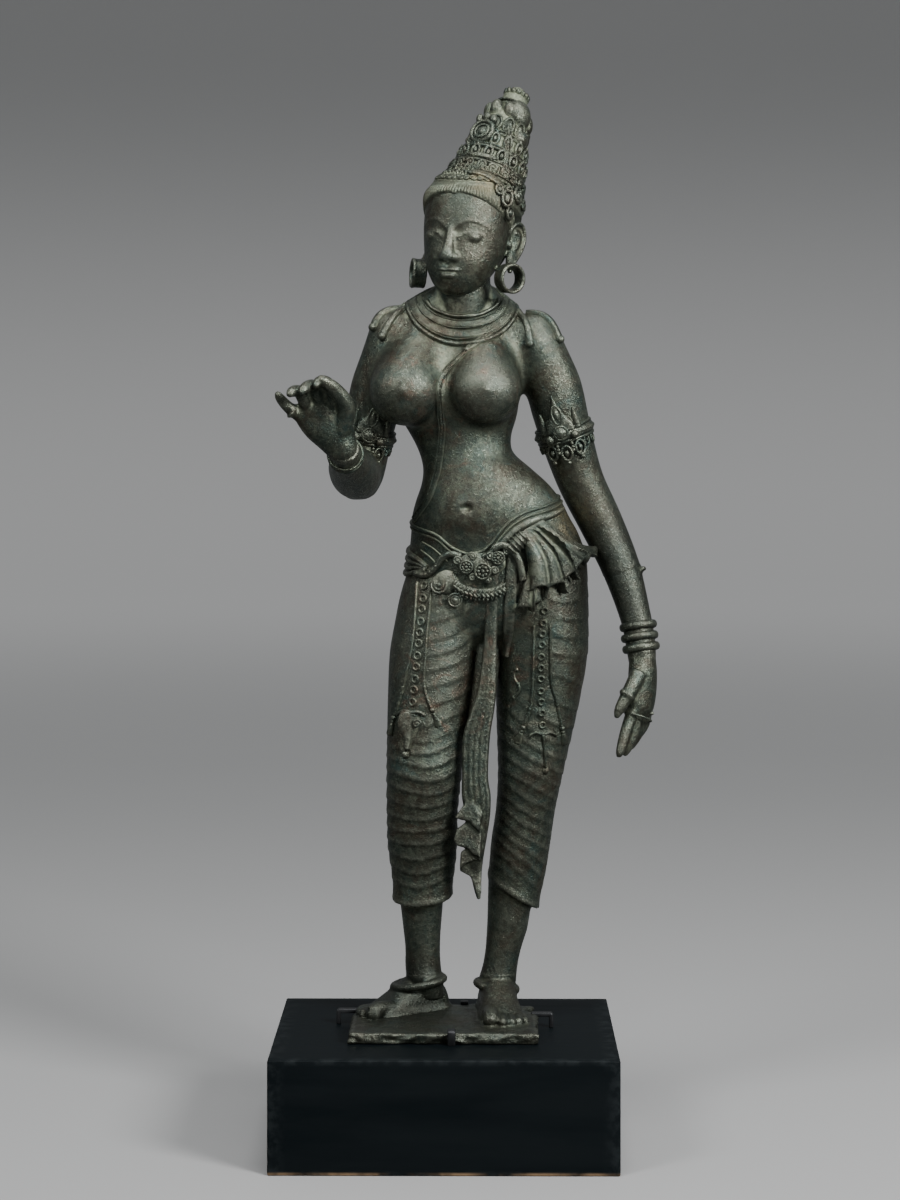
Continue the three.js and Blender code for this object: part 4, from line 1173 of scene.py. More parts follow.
ARMLETS = [  # centre, axis, the way it faces, and radius
    ((-58, 20, 430), (0.24, -0.12, 1), (0.1, -1, 0), 19),
    ((88.5, 18, 432), (-0.28, -0.12, 1), (-0.15, -1, 0), 19.8),
]
CREST = [(3, 10.5), (9, 9.6), (14, 6.4), (20, 3.6), (26, 1.9), (31, 0.7)]  # rise and half width
CREST_LEAVES = [(0, 9, 23, 3.4), (-0.34, 4, 13, 2.6), (0.34, 4, 13, 2.6)]  # angle, foot, tip, half width
SPIKE_ANGLE = 0.62
SPIKE = [(1, 3, 0.6, 3.6, 2), (1, 11, 0.8, 2.4, 1.8), (1.05, 19, 1, 0.8, 0.9)]
DROPS = [(-0.55, -11.5), (0, -13.5), (0.55, -11.5)]  # angle and height of the ovals below the band
BANGLES = [(143, 11.6, 288), (144, 10.6, 280), (145, 9.6, 272)]
BRACELETS = [(-70.9, -57, 415.3), (-71, -62.5, 416.7)]
THREAD_BEAD = (16.8, 491.9)


def collar(surface, reach, drop):
    """Pairs round the neck: half an oval in the view from the front, rising behind."""
    found = []
    for i in range(COLLAR_STEPS + 1):
        angle = i / COLLAR_STEPS * TURN
        front = math.sin(angle)
        x, y, z = COLLAR_CENTRE + vec(reach * math.cos(angle), -COLLAR_DEEP * front, 0)
        z -= (drop if front > 0 else COLLAR_RISE) * front
        for _ in range(8):
            point, out = surface.press(x, y, z)
            y = point.y
        found.append((point, out))
    return soft_pairs(found, 0.3, True, 8)


def armlet(bm, centre, axis, facing, radius):
    """A banded ring with a pointed crest above and ovals hanging below."""
    axis = Vector(axis).normalized()
    front = (Vector(facing) - axis * axis.dot(Vector(facing))).normalized()
    side = axis.cross(front)

    def spot(angle, rise, proud=0.0):
        out = front * math.cos(angle) + side * math.sin(angle)
        return Vector(centre) + out * (radius + proud) + axis * rise, out

    torus(bm, Vector(centre), axis, radius - 0.6, (3.2, 4.4), 90, 14)
    for rise in (-4.6, 4.6):
        torus(bm, Vector(centre) + axis * rise, axis, radius + 0.6, 1.3, 90, 8)
    strap(bm, [spot(i / 120 * TURN, 0, 2.0) for i in range(121)], 1.5, 1.4, beads=44, loop=True)
    # The crest is a tall pointed plate with a leaf on it, between two lower spikes.
    limb(bm, [[*spot(0, rise, 0.6)[0], half, 2.3] for rise, half in CREST], side, 24, 1)
    for angle, foot, tip, wide in CREST_LEAVES:
        point, out = spot(angle, (foot + tip) / 2, 2.2 - abs(angle) * 3)
        oval(bm, point, out, wide, (tip - foot) / 2, 1.0, axis)
    for angle in (-SPIKE_ANGLE, SPIKE_ANGLE):
        stations = [[*spot(angle * share, rise, proud)[0], half, deep]
                    for share, rise, proud, half, deep in SPIKE]
        limb(bm, stations, side, 16, 1)
    point, out = spot(0, 2.5, 3.8)
    rosette(bm, point, out, 5.8, axis)
    ball(bm, point - out * 2, 5)
    for angle in (-0.42, 0.42):
        ball(bm, spot(angle, -1, 3)[0], 3.2)
    for angle, drop in DROPS:
        point, out = spot(angle, drop, 0.4)
        oval(bm, point, out, 3.8, 5.4, 1.1, axis, 0.45)
        ball(bm, spot(angle, drop - 7.2, 0.9)[0], 1.7, 2)
    for angle in (-0.27, 0.27):
        for drop in (-7, -9.6, -12.2):
            ball(bm, spot(angle, drop, 0.9)[0], 1.5, 2)
    for angle in (-0.9, 0.9, -1.3, 1.3):
        point, out = spot(angle, -8, 0.3)
        oval(bm, point, out, 2.4, 3.4, 1.0, axis, 0.4)


def build_jewels():
    """Collars, thread, ribbons, armlets and bangles, laid on the body."""
    surface = Surface("figure_body")
    bm = bmesh.new()
    for reach, drop, wide, thick, beads, edge in COLLARS:
        laid = collar(surface, reach, drop)
        strap(bm, laid, wide, thick, beads=beads, notch=0.3, around=12, loop=True, edge=edge)
    for laid in (surface.lay(THREAD), surface.lay(THREAD_BEHIND, behind=True)):
        strap(bm, laid, 2.5, 1.5, around=12)
        for side in (-2, 2):
            strap(bm, side_ways(laid, side), 0.6, 2.0)
        strap(bm, laid, 1.0, 2.4, beads=len(laid) // 2, notch=0.6)
    ball(bm, surface.spot(*THREAD_BEAD, 1)[0], (2.6, 2, 2))
    for stations in RIBBONS:
        laid = surface.hug(stations, 1, 0.2)
        strap(bm, laid, 2.5, 2.9, edge=0.5, taper=lambda w: mix(0.8, 1.2, w))
        ball(bm, laid[-1][0] + laid[-1][1] * 1.2, 3.2)
    for parts in ARMLETS:
        armlet(bm, *parts)
    for centre in BANGLES:
        torus(bm, Vector(centre), (0.145, -0.145, -1), 12, (2.1, 3.0), 72, 12)
    for centre in BRACELETS:
        torus(bm, Vector(centre), (0, -1, 0.28), 12.2, (1.2, 1.4), 64, 8)
    chased(bm, "figure_jewels", surface)


# The girdle over the hips, its clasp, and the chains that hang from it.

UPPER_HEM = [  # degrees round the hips from the viewer's right, and height
    (0, 384), (22.5, 381), (47, 376.6), (61.6, 373.7), (75, 367.8), (84.4, 360.5), (92, 351.8),
    (98, 346), (104, 343), (111, 343), (122, 348.1), (135, 356.9), (166, 362.7), (205, 368),
    (240, 373), (270, 377), (305, 381), (335, 384),
]
CLOTH_ROLL = [(100, 341), (91, 346), (82, 355), (70, 363), (56, 368), (40, 371), (20, 375)]
HEM_CORDS = [(0, 1.3), (3.3, 0.9)]  # how far below the upper hem, and half width
HIP_CORDS = 4
HIP_CORD_PATH = [  # degrees, the lowest cord's height and how much higher each next one lies
    (141, 330, 1), (152, 329, 3), (168, 326, 5.2), (200, 330, 5.6), (270, 337, 6), (334, 345, 6),
]
PANEL_LINES = [[(-17, 351), (-8, 346), (2, 337)], [(-18, 345), (-11, 340), (-4, 333)]]
BELT_TAIL = [(-21, 327.7), (-13.8, 326.3), (-7.2, 331.4), (-1.4, 340.1), (5.2, 343), (12, 341)]
CLASP_MOUND = (27, 336)
CLASP_FLOWERS = [(16.1, 333.7, 5.2), (27.8, 330.8, 6.6), (38.7, 340.5, 5.2)]
CLASP_CURLS = [
    (9.5, 338, 3.2, 1), (20.5, 341.5, 3.0, -1), (33, 341.5, 3.2, 1), (20.5, 326, 2.8, 1),
    (36.5, 331, 3.0, -1), (45, 345, 2.8, 1), (31.5, 324, 2.4, -1),
]
LOOPED_CORD = [(35, 347), (40, 350), (46, 348.3), (53.3, 338.8), (56.2, 324.3)]
FESTOON_PITCH = 3  # steps between its twists
FESTOON_SLANT = 0.7
FESTOON = [(7.6, 321), (12, 318), (18.3, 315.7), (27, 314.6), (36, 315.4), (43.5, 319.5)]
KNOT_ENDS = [(47.5, 346, 3), (58, 357, 4)]  # x, height and how proud
KNOT_CORDS = 5
DISC_LEAF = (1.5, 322)
DISCS = [(-4, 319.6, 5.6), (7.4, 309.7, 4.8)]  # x, height and radius
RIGHT_CHAIN = [
    (-14.6, 323), (-15.3, 317.9), (-17.5, 294.5), (-19.7, 272.6), (-21.9, 250.7), (-24.1, 230),
]
RIGHT_CORDS = [
    [(-20.4, 321.6), (-23.4, 279.9), (-29.2, 250.7), (-37, 222)],
    [(-9.8, 321.6), (-13.5, 279.9), (-15.3, 250.7), (-13.6, 239), (-9.6, 229)],
]
RING_PITCH = 8.2
BELL_MIDDLE = -24.2
BELL = [(226.5, 8), (222, 9.4), (216, 9.2), (210.5, 5.8), (206, 3.3), (199.5, 2.8)]  # height, half width
BELL_BAR = [(-34, 224.5), (-29, 227.6), (-24.2, 226.6), (-19.4, 227.6), (-14.6, 224.5)]
BELL_BEAD = (-28.6, 195.8)
LEFT_CHAIN = [(73.3, 305.2), (71.1, 279.5), (70.3, 242.9), (71.6, 213)]
LEFT_CORDS = [
    [(65.2, 290.5), (64.4, 250.2), (63, 232), (58, 216)],
    [(77, 290), (77.7, 250.2), (81.3, 235.5), (85.5, 215)],
]
WINGED_BAR = [(62, 208.5), (66, 212), (71.6, 210.4), (77, 212), (81, 209)]
THIN_STEM = [(71.8, 210), (73, 198), (73.6, 186)]
STEM_BLOCK = (73.8, 183.5)
CORD_SCROLL = [(52.7, 257.5), (50.8, 255), (51.6, 250.2), (54.9, 245), (54, 240.5), (50.5, 237)]
TASSEL_SIZE = 1.12
TASSEL_BEADS = [(0.5, 1.9), (3.4, 1.5)]  # how far down the tassel, and radius
TASSEL_TUFT = [(4.4, 1.2), (8, 2.4), (11.5, 2.9), (12.6, 2.2)]  # and half width


def side_ways(laid, reach):
    """The same route shifted sideways over the surface."""
    ways = tangents([p for p, _ in laid])
    return [(p + way.cross(n).normalized() * reach, n) for (p, n), way in zip(laid, ways)]


def swell(w):
    """How wide a gathered cord is along its length: full in the middle and thin at both ends."""
    return 0.35 + 0.65 * math.sin(math.pi * clamp(w * 0.9 + 0.06)) ** 0.6


def tassel(bm, laid):
    """Two beads and a flared tuft that carry on from the end of a laid cord."""
    point, out = laid[-1]
    way = tangents([p for p, _ in laid])[-1]
    point = point + out * 0.6
    for far, radius in TASSEL_BEADS:
        ball(bm, point + way * far * TASSEL_SIZE, radius * TASSEL_SIZE, 2)
    tuft = [[*(point + way * far * TASSEL_SIZE), wide * TASSEL_SIZE, 1.4 * TASSEL_SIZE]
            for far, wide in TASSEL_TUFT]
    limb(bm, tuft, way.cross(out), 16, 1)


def build_girdle():
    """The belt's cords, clasp, discs and festoon, and the chains below, laid on the dress."""
    surface = Surface("figure_body", "figure_dress")
    bm = bmesh.new()
    for drop, thick in HEM_CORDS:
        rows = [(degrees, height - drop) for degrees, height in UPPER_HEM]
        strap(bm, surface.girth(rows, 1.2, 0.3), thick, thick * 1.1, loop=True)
    strap(bm, surface.girth(CLOTH_ROLL, 1.2, 0.2, False), 3.6, 3.2, around=12, taper=swell)
    # Gathered cords run from the hip at the viewer's left round the back.
    for i in range(HIP_CORDS):
        rows = [(degrees, height + rise * i) for degrees, height, rise in HIP_CORD_PATH]
        strap(bm, surface.girth(rows, 1.4, 0.3, False), 2.6, 2.6, around=10, taper=swell)
    for line in PANEL_LINES:
        strap(bm, surface.lay(line, 1, 0), 0.6, 0.8)
    tail = surface.lay(BELT_TAIL, 1, 1.4)
    strap(bm, tail, 2.6, 2.4, around=10)
    strap(bm, [(p + n * 1.2, n) for p, n in tail[: len(tail) // 2]], 1.8, 1.8, beads=6)
    # The clasp: a low mound of flowers and scrolls.
    ball(bm, surface.spot(*CLASP_MOUND)[0], (18, 3.6, 9), 4)
    for x, height, radius in CLASP_FLOWERS:
        point, out = surface.spot(x, height, 5.0)
        rosette(bm, point, out, radius)
        ball(bm, point - out * 2.4, (radius * 0.9, 3, radius * 0.9))
    for x, height, size, hand in CLASP_CURLS:
        point, out = surface.spot(x, height, 4.0)
        curl(bm, point, out, size, hand, thick=1.15)
    strap(bm, surface.lay(LOOPED_CORD, 1, 4.2), 2.7, 2.4, around=12, edge=0.3)
    # The knot beside the clasp, wound with cord.
    start, end = [surface.spot(*place)[0] for place in KNOT_ENDS]
    limb(bm, [[*start, 4.4], [*start.lerp(end, 0.5), 5.4], [*end, 4.6]], around=24, spacing=1)
    for i in range(KNOT_CORDS):
        radius = 4.9 + 0.5 * math.sin(math.pi * i / (KNOT_CORDS - 1))
        torus(bm, start.lerp(end, 0.08 + i * 0.21), end - start, radius, 0.9)
    # Two discs and the flat leaf that joins them.
    ball(bm, surface.spot(*DISC_LEAF, 1.6)[0], (9, 2, 9), 4)
    for x, height, radius in DISCS:
        point, out = surface.spot(x, height, 3)
        oval(bm, point, out, radius, radius, 0.9, heart=0)
        oval(bm, point + out * 0.3, out, radius * 0.6, radius * 0.6, 0.6, heart=0)
        ball(bm, point - out, (radius, 2, radius))
        ball(bm, point + out * 0.6, (1.8, 1.6, 1.8))
    # The festoon slung under the clasp, with a fringe of drops.
    slung = surface.lay(FESTOON, 1, 2.2)
    strap(bm, slung, 4.0, 3.2, around=14)
    for point, out in slung[1:-1:FESTOON_PITCH]:
        for hand in (-1, 1):
            slant = Matrix.Rotation(hand * FESTOON_SLANT, 4, "Y")
            ball(bm, point + vec(0, 0, 1.7 * hand) + out * 2.4, (1.2, 1.4, 2.5), 2, slant)
        ball(bm, point + vec(0, 0, -4.6) + out * 0.8, (1.0, 1.2, 1.7), 2)
    build_chains(bm, surface)
    chased(bm, "figure_girdle", surface)


def build_chains(bm, surface):
    """A chain of rings down each thigh between two cords, which part lower down."""
    for line, radius in ((RIGHT_CHAIN, 2.5), (LEFT_CHAIN, 2.1)):
        laid = surface.lay(line, 1, 0.6)
        count = round(len(laid) / RING_PITCH)
        for i in range(count):
            point, out = laid[round((i + 0.5) / count * (len(laid) - 1))]
            oval(bm, point, out, radius, radius, 1.0, heart=0)
    for line in RIGHT_CORDS + LEFT_CORDS:
        laid = surface.lay(line, 1, 0.3)
        strap(bm, laid, 1.1, 1.5, around=10)
        strap(bm, laid[-len(laid) // 4:], 1.6, 1.7, beads=6, notch=0.4)
        tassel(bm, laid)
    # The right chain ends in a broad bell with a bar across its top, on a stem with a bead.
    limb(bm, [[*surface.front(BELL_MIDDLE - (226 - z) * 0.13, z, 0.2), half, 2.6] for z, half in BELL],
         around=28, spacing=1)
    strap(bm, surface.lay(BELL_BAR, 1, 1.8), 1.5, 1.6, around=10)
    for hand in (-1, 1):
        point, out = surface.spot(-24.8 + hand * 4.4, 218.5, 2.6)
        curl(bm, point, out, 3.2, hand, thick=0.9)
    ball(bm, surface.front(*BELL_BEAD, 0.8), (3, 2.4, 3))
    # The left one ends in a winged bar and a thin stem with a block.
    strap(bm, surface.lay(WINGED_BAR, 1, 0.6), 1.3, 1.6, around=10)
    strap(bm, surface.lay(THIN_STEM, 1, 0.4), 1.2, 1.5, around=10)
    ball(bm, surface.spot(*STEM_BLOCK, 0.6)[0], (2.6, 1.8, 3.2))
    # A small scroll of loose cord beside the left chain.
    loose = surface.lay(CORD_SCROLL, 1, 0.3)
    strap(bm, loose, 0.9, 1.2)
    for i in (0, len(loose) // 2, -1):
        ball(bm, loose[i][0], 1.6, 2)


# The sash: pleats gathered on the hip, and one long end that hangs between the legs.

SWAG_ROOT = [(72, 359), (63, 363), (54, 367)]  # degrees and height
SWAG_MIDDLE = [(71, 337), (62, 340), (53, 344), (44, 347), (35, 348)]
SWAG_HEM = [(71, 314), (62, 314), (51, 318), (39, 329), (21, 339), (3, 344)]
SWAG_CUPS = (6, 9.5, 12)  # pleats, how far they stand out and how far their ends curl
SMALL_ROOT = [(72, 330), (64, 328)]
SMALL_MIDDLE = [(74, 316), (66, 316)]
SMALL_HEM = [(76, 302), (70, 303), (65, 307)]
SMALL_CUPS = (2, 5, 4)
HANGING_SASH = [
    [34.8, -21, 331, 5.2, 3.4], [33.3, -14, 280, 4.8, 3.5], [31, -13, 245, 6.8, 4],
    [27.5, -13, 228, 8.6, 4.5], [23, -13, 208, 10, 4.5], [22, -13, 180, 9.6, 4.5],
    [22.9, -12.5, 165, 10.6, 4.5],
    [24, -12, 150, 9, 3.8], [24, -11.5, 135, 6.8, 3], [23, -11, 115, 4.6, 2.6], [23.4, -10, 100, 3.2, 2],
    [24.8, -9.5, 88.5, 1.3, 1.5],
]
BACK_CLOTH = [[33, 8, 330, 10, 8], [32, 6, 280, 10, 8], [29.5, 4, 250, 9.5, 7], [26, 2, 225, 9, 6],
              [22.5, -2, 205, 8, 5]]
CLOTH_STEP = 1.6
SASH_FOLDS = 5
FLAPS = [  # the front-most first: outline in x and height, and how far forward it lies
    [[(18, 164), (12.4, 157), (7.2, 150), (12, 148), (17.5, 147.5), (20, 144.5), (25, 140),
      (27, 152)], 19.4],
    [[(20, 150), (12, 143.5), (8.4, 141), (6.2, 133), (9, 129), (17, 127), (20, 123), (26, 121),
      (27, 140)], 18.2],
    [[(20, 130), (11.5, 124), (10.6, 112), (15, 116), (24, 119), (26, 118), (26.5, 128)], 16.8],
    [[(12, 118), (10.6, 110), (18.5, 106), (22, 97), (24.5, 89), (26.6, 94), (26.6, 118)], 14.2],
]
FLAP_MIDDLE = 22
FLAP_TILT = 0.14
FLAP_DEPTH = 4
LOOSE_END = [(50, 346), (49, 330), (48, 312), (46.5, 290), (45, 266)]


def on_hips(rows, share, proud):
    """A point over the hips, at a share along rows of degrees and height, and the way out."""
    degrees, height = spline(rows, share)
    angle = math.radians(degrees)
    point = TORSO.at(height, angle, proud)
    return point, (TORSO.at(height, angle, proud + 5) - point).normalized()


def sheet(bm, place, across, along, thick):
    """Thin cloth through place(u, w), thickened."""
    made = bmesh.ops.create_grid(bm, x_segments=across, y_segments=along, size=0.5)["verts"]
    for vert in made:
        vert.co = place(vert.co.x + 0.5, vert.co.y + 0.5)
    faces = list({face for vert in made for face in vert.link_faces})
    bmesh.ops.recalc_face_normals(bm, faces=faces)
    bmesh.ops.solidify(bm, geom=faces, thickness=thick)


def swag(bm, rows, pleats, depth, cup, thick=1.9):
    """Cloth gathered along its first row. Its round pleats open into cups along the last row."""
    def spine(u, w):
        spots = [list(on_hips(row, u, rise)[0]) for row, rise in zip(rows, (2.0, 3.5, 2.5))]
        return Vector(spline(spots, w))

    def place(u, w):
        out = on_hips(rows[-1], u, 3)[1]
        down = (spine(u, min(w + 0.02, 1)) - spine(u, max(w - 0.02, 0))).normalized()
        ahead = out.cross(down) * -1
        turn = math.pi * pleats * u**1.2
        ridge = abs(math.sin(turn)) ** 0.7
        point = spine(u, w) + out * depth * w**0.6 * ridge
        point += ahead * 2.6 * w**1.5 * math.sin(2 * turn) * ridge
        return point + down * cup * w**3 * (0.5 - ridge)

    sheet(bm, place, 180, 44, thick)


def slab(bm, outline, forward):
    """A flat flap of cloth with a sharp outline, tipped to face a little up."""
    middle = sum(z for _, z in outline) / len(outline)
    front = []
    for x, z in outline:
        y = -forward + (FLAP_MIDDLE - x) * 0.03 + (z - middle) * FLAP_TILT
        front.append(bm.verts.new((x, y, z)))
    back = [bm.verts.new(vert.co + vec(0, FLAP_DEPTH, 0)) for vert in front]
    bm.faces.new(front)
    bm.faces.new(back[::-1])
    for i in range(len(front)):
        bm.faces.new((front[i - 1], back[i - 1], back[i], front[i]))


def hanging_cloth(bm, stations, folds):
    """A long flat end of cloth with upright folds on its front."""
    rings = route(stations, CLOTH_STEP)

    def place(u, w):
        x, y, z, half, deep = rings[round(w * (len(rings) - 1))]
        c, s = math.cos(u * TURN), math.sin(u * TURN)
        rise = deep * math.copysign(abs(s) ** 0.5, s)
        if s > 0:
            rise += min(deep * 0.3, 1.3) * abs(math.sin(math.pi * folds * (c + 1) / 2)) * min(s * 3, 1)
        return vec(x + half * c, y - rise, z)

    skin(bm, place, 96, len(rings) - 1)


def build_sash():
    """The swag on the hip, its loose end, and the long end with its flaps between the legs."""
    surface = Surface("figure_body", "figure_dress")
    bm = bmesh.new()
    swag(bm, (SWAG_ROOT, SWAG_MIDDLE, SWAG_HEM), *SWAG_CUPS)
    swag(bm, (SMALL_ROOT, SMALL_MIDDLE, SMALL_HEM), *SMALL_CUPS)
    loose = surface.lay(LOOSE_END, 1.2, 0.4)
    strap(bm, loose, 4.8, 2.2, around=16, taper=lambda w: mix(1, 0.6, w**3), edge=0.4)
    hanging_cloth(bm, HANGING_SASH, SASH_FOLDS)
    hanging_cloth(bm, BACK_CLOTH, 1)
    for outline, forward in FLAPS:
        slab(bm, outline, forward)
    casting(bm, "figure_sash", "sash_skin", soften=2)


# The head, in its own frame: the face looks along -Y and the eyes are level with the origin.
# The face is an ideal one, on equal thirds from hairline to brow to nose base to chin.

HEAD_PLACE = (16, 2, 580)
HEAD_TURN = math.radians(-22)
HEAD_ROLL = math.radians(4)
HEAD_MATRIX = Matrix.Translation(HEAD_PLACE) @ Euler((0, HEAD_ROLL, HEAD_TURN)).to_matrix().to_4x4()
FACE_THIRD = 25
CHIN = -48
NOSE_BASE = CHIN + FACE_THIRD
BROW = NOSE_BASE + FACE_THIRD
HAIRLINE = BROW + FACE_THIRD
EYE_LEVEL = BROW - 7
EYE_SPACING = 13.5
MOUTH = NOSE_BASE - FACE_THIRD / 3
HEAD = Form([
    [-48, 0, -17, 6, 6, 6],
    [-45, 0, -15, 12.5, 12.5, 12],
    [-38, 0, -11, 19.5, 19.5, 18],
    [-26, 0, -6, 26.5, 26, 25],
    [-12, 0, -1, 30.5, 31, 30],
    [2, 0, 0, 32, 32, 34],
    [16, 0, 1, 32, 32.5, 35],
    [28, 0, 2, 31, 31, 35],
    [38, 1.4, 3, 25.6, 24.5, 31],
    [46, 2, 4, 15, 14, 21],
])
HEAD_TOP = 46
NAPE = -26
EARRING_CENTRE = (36.5, -1, -33)  # x is measured out to its own side
EARRING_RADIUS = 9.4
EARRING_RIMS = [(-1, 0.2), (1, 0.6)]  # which end, and how much wider than the tube
EARRING_TURN = math.radians(59)


def on_head(points, proud):
    """Pairs laid on the front of the head through (x, height)."""
    path = route([(x, 0, z) for x, z in points], 0.8)
    found = []
    for x, _, z in path:
        middle, y = HEAD.section(round(z, 3))[:2]
        spot = HEAD.front(x, z, proud)
        found.append((spot, vec(spot.x - middle, spot.y - y, 0).normalized()))
    return found


def almond(side, grow, rise):
    """One lid's line: from the inner corner over the eye's middle to the outer corner."""
    inner, outer = EYE_SPACING - 7.4 - grow, EYE_SPACING + 8.2 + grow
    return [
        (side * inner, EYE_LEVEL - 0.9), (side * mix(inner, outer, 0.28), EYE_LEVEL + rise * 0.86),
        (side * mix(inner, outer, 0.55), EYE_LEVEL + rise + 0.3),
        (side * mix(inner, outer, 0.82), EYE_LEVEL + rise * 0.6 + 0.6), (side * outer, EYE_LEVEL + 0.9),
    ]


NOSE = [
    [0, -28.5, BROW + 4, 3.4, 2.4], [0, -31.2, BROW - 4, 3.2, 3.2],
    [0, -33.6, mix(NOSE_BASE, BROW, 0.45), 3.9, 3.8], [0, -35.4, NOSE_BASE + 5.5, 4.9, 4.6],
    [0, -35.4, NOSE_BASE + 2.6, 5.0, 4.4], [0, -33.0, NOSE_BASE - 0.4, 3.8, 2.8],
]
BROW_ARCH = [(3.2, BROW - 3), (6, BROW + 1.8), (12, BROW + 4.8), (19, BROW + 4.2), (26, BROW - 0.4)]
# The ear and its folds, with x measured out to its own side.
EAR = [
    [28, 11, 6, 4, 3.4], [32, 15, 1, 7, 3.6], [32.5, 15, -8, 6.8, 3.6], [32.5, 9, -17, 4.4, 3.2],
    [34.5, 2, -25, 2.6, 2.6],
]
EAR_RIM = [
    (30.5, 5.5, -1), (32, 8, 5), (34, 13, 8), (35.5, 18.5, 6.5), (36.5, 21.5, 0.5), (36.5, 21, -6.5),
    (36, 17, -13), (35.5, 11.5, -18), (35, 7, -21.5),
]
EAR_FOLD = [(34, 11, 1), (35.5, 15, 0), (35.5, 15, -6), (35, 10.5, -11)]
EARRING_LOOP = [[34, 4, -22, 2.5], [35.5, 1, -26, 2.2], [36, -0.5, -29, 1.8]]


def on_side(side, rows):
    """Rows whose first column is turned to one side of the head."""
    return [(side * row[0], *row[1:]) for row in rows]


def face(bm):
    """Nose, brows, eyes, lips and chin, added to the plain head."""
    limb(bm, NOSE, around=24, spacing=1)
    for side in (-1, 1):
        ball(bm, (side * 5.0, -31.6, NOSE_BASE + 2.6), (3.1, 4.4, 3.0))
        brow = on_head(on_side(side, BROW_ARCH), -0.7)
        strap(bm, brow, 1.5, 1.4, taper=lambda w: mix(1, 0.5, w**2))
        eye = HEAD.front(side * EYE_SPACING, EYE_LEVEL, -3.3)
        ball(bm, eye, (8.2, 4.4, 4.3))
        strap(bm, on_head(almond(side, 0.2, 2.6), 0.1), 0.9, 1.1)
        strap(bm, on_head(almond(side, 0, -2.2), -0.3), 0.5, 0.7)
        ball(bm, HEAD.front(side * 3.2, MOUTH + 1.7, -0.7), (5.0, 3.4, 2.2))
    ball(bm, HEAD.front(0, MOUTH - 2.4, -0.5), (6.2, 3.6, 2.6))
    ball(bm, (0, -20.5, CHIN + 7.5), (9, 7.5, 6.5))


def hairline(angle):
    """The hair's edge round the head: level over the brow, down to the nape behind."""
    s = math.sin(angle)
    front = HAIRLINE + 0.5 - 21 * (1 - max(s, -0.1))
    dip = 1.6 * math.exp(-((angle - math.pi / 2) / 0.09) ** 2)
    return mix(front - dip, NAPE, float(ease(-0.1, -0.5, s)))


def ear(bm, side):
    """An ear with a rim, an inner fold and a long stretched lobe."""
    out = vec(side * 0.9, -0.35, 0)
    limb(bm, on_side(side, EAR), (0.3 * side, 1, 0), 24, 1.5)
    for line, wide, deep in ((EAR_RIM, 2.0, 3.0), (EAR_FOLD, 1.1, 1.6)):
        strap(bm, [(Vector(p), out) for p in route(on_side(side, line), 1)], wide, deep)
    ball(bm, (side * 32, 5.5, -8), (2.4, 2.4, 3.4))


def earring(bm, side):
    """A short wide tube worn in the stretched lobe, with a rounded rim at each end."""
    axis = vec(side * math.sin(EARRING_TURN), -math.cos(EARRING_TURN), 0)
    x, y, z = EARRING_CENTRE
    centre = vec(side * x, y, z)
    torus(bm, centre, axis, EARRING_RADIUS, (1.5, 4.6), 72, 12)
    for end, grow in EARRING_RIMS:
        torus(bm, centre + axis * 4.2 * end, axis, EARRING_RADIUS + grow, 1.5, 72, 10)
    limb(bm, on_side(side, EARRING_LOOP), around=14, spacing=1)


def build_head():
    """The head with its face, ears and earrings, shaped upright and then turned in place."""
    bm = bmesh.new()
    skin(bm, lambda u, w: HEAD.at(mix(CHIN, HEAD_TOP, w), u * TURN), 120, 90)
    face(bm)
    for side in (-1, 1):
        ear(bm, side)
        earring(bm, side)
    bm.transform(HEAD_MATRIX)
    casting(bm, "figure_head", "head_skin", soften=3, carve=carve_head)


def carve_head(surface):
    """Softens the features into the face and cuts the eye corners, nostrils and the mouth's line."""
    inward = np.array(HEAD_MATRIX.inverted())
    local = surface.points @ inward[:3, :3].T + inward[:3, 3]
    x, y, z = local.T
    before = y < -12
    sockets = np.zeros(len(x))
    cheeks = np.zeros(len(x))
    for side in (-1, 1):
        sockets += np.exp(-((x - side * 6.5) ** 2 / 14 + (z - EYE_LEVEL - 3.2) ** 2 / 12))
        cheeks += np.exp(-((x - side * 15) ** 2 / 80 + (z - NOSE_BASE - 3) ** 2 / 80))
    nostrils = sum(np.exp(-((x - side * 3) ** 2 + (z - NOSE_BASE + 0.8) ** 2) / 1.6) for side in (-1, 1))
    mouth = np.exp(-(x**2 / 90 + (z - MOUTH) ** 2 / 22))
    nose = np.exp(-(x**2 / 60 + (z - NOSE_BASE - 10) ** 2 / 160))
    surface.relax(8, np.minimum(before * (mouth + nose + 0.5 * cheeks + 0.6 * sockets), 1))
    seam = np.exp(-((z - MOUTH + 0.1 - 0.008 * x * x) / 0.7) ** 2) * ease(8.4, 6, abs(x))
    surface.push((-1.0 * sockets + 0.8 * cheeks - 1.2 * nostrils - 0.9 * seam) * before)
    surface.relax(1)


# The crown leans back from the brow. Its profile is share of the axis and radius, and angle 0
# on it is where the face looks; a growing angle turns to the viewer's left.

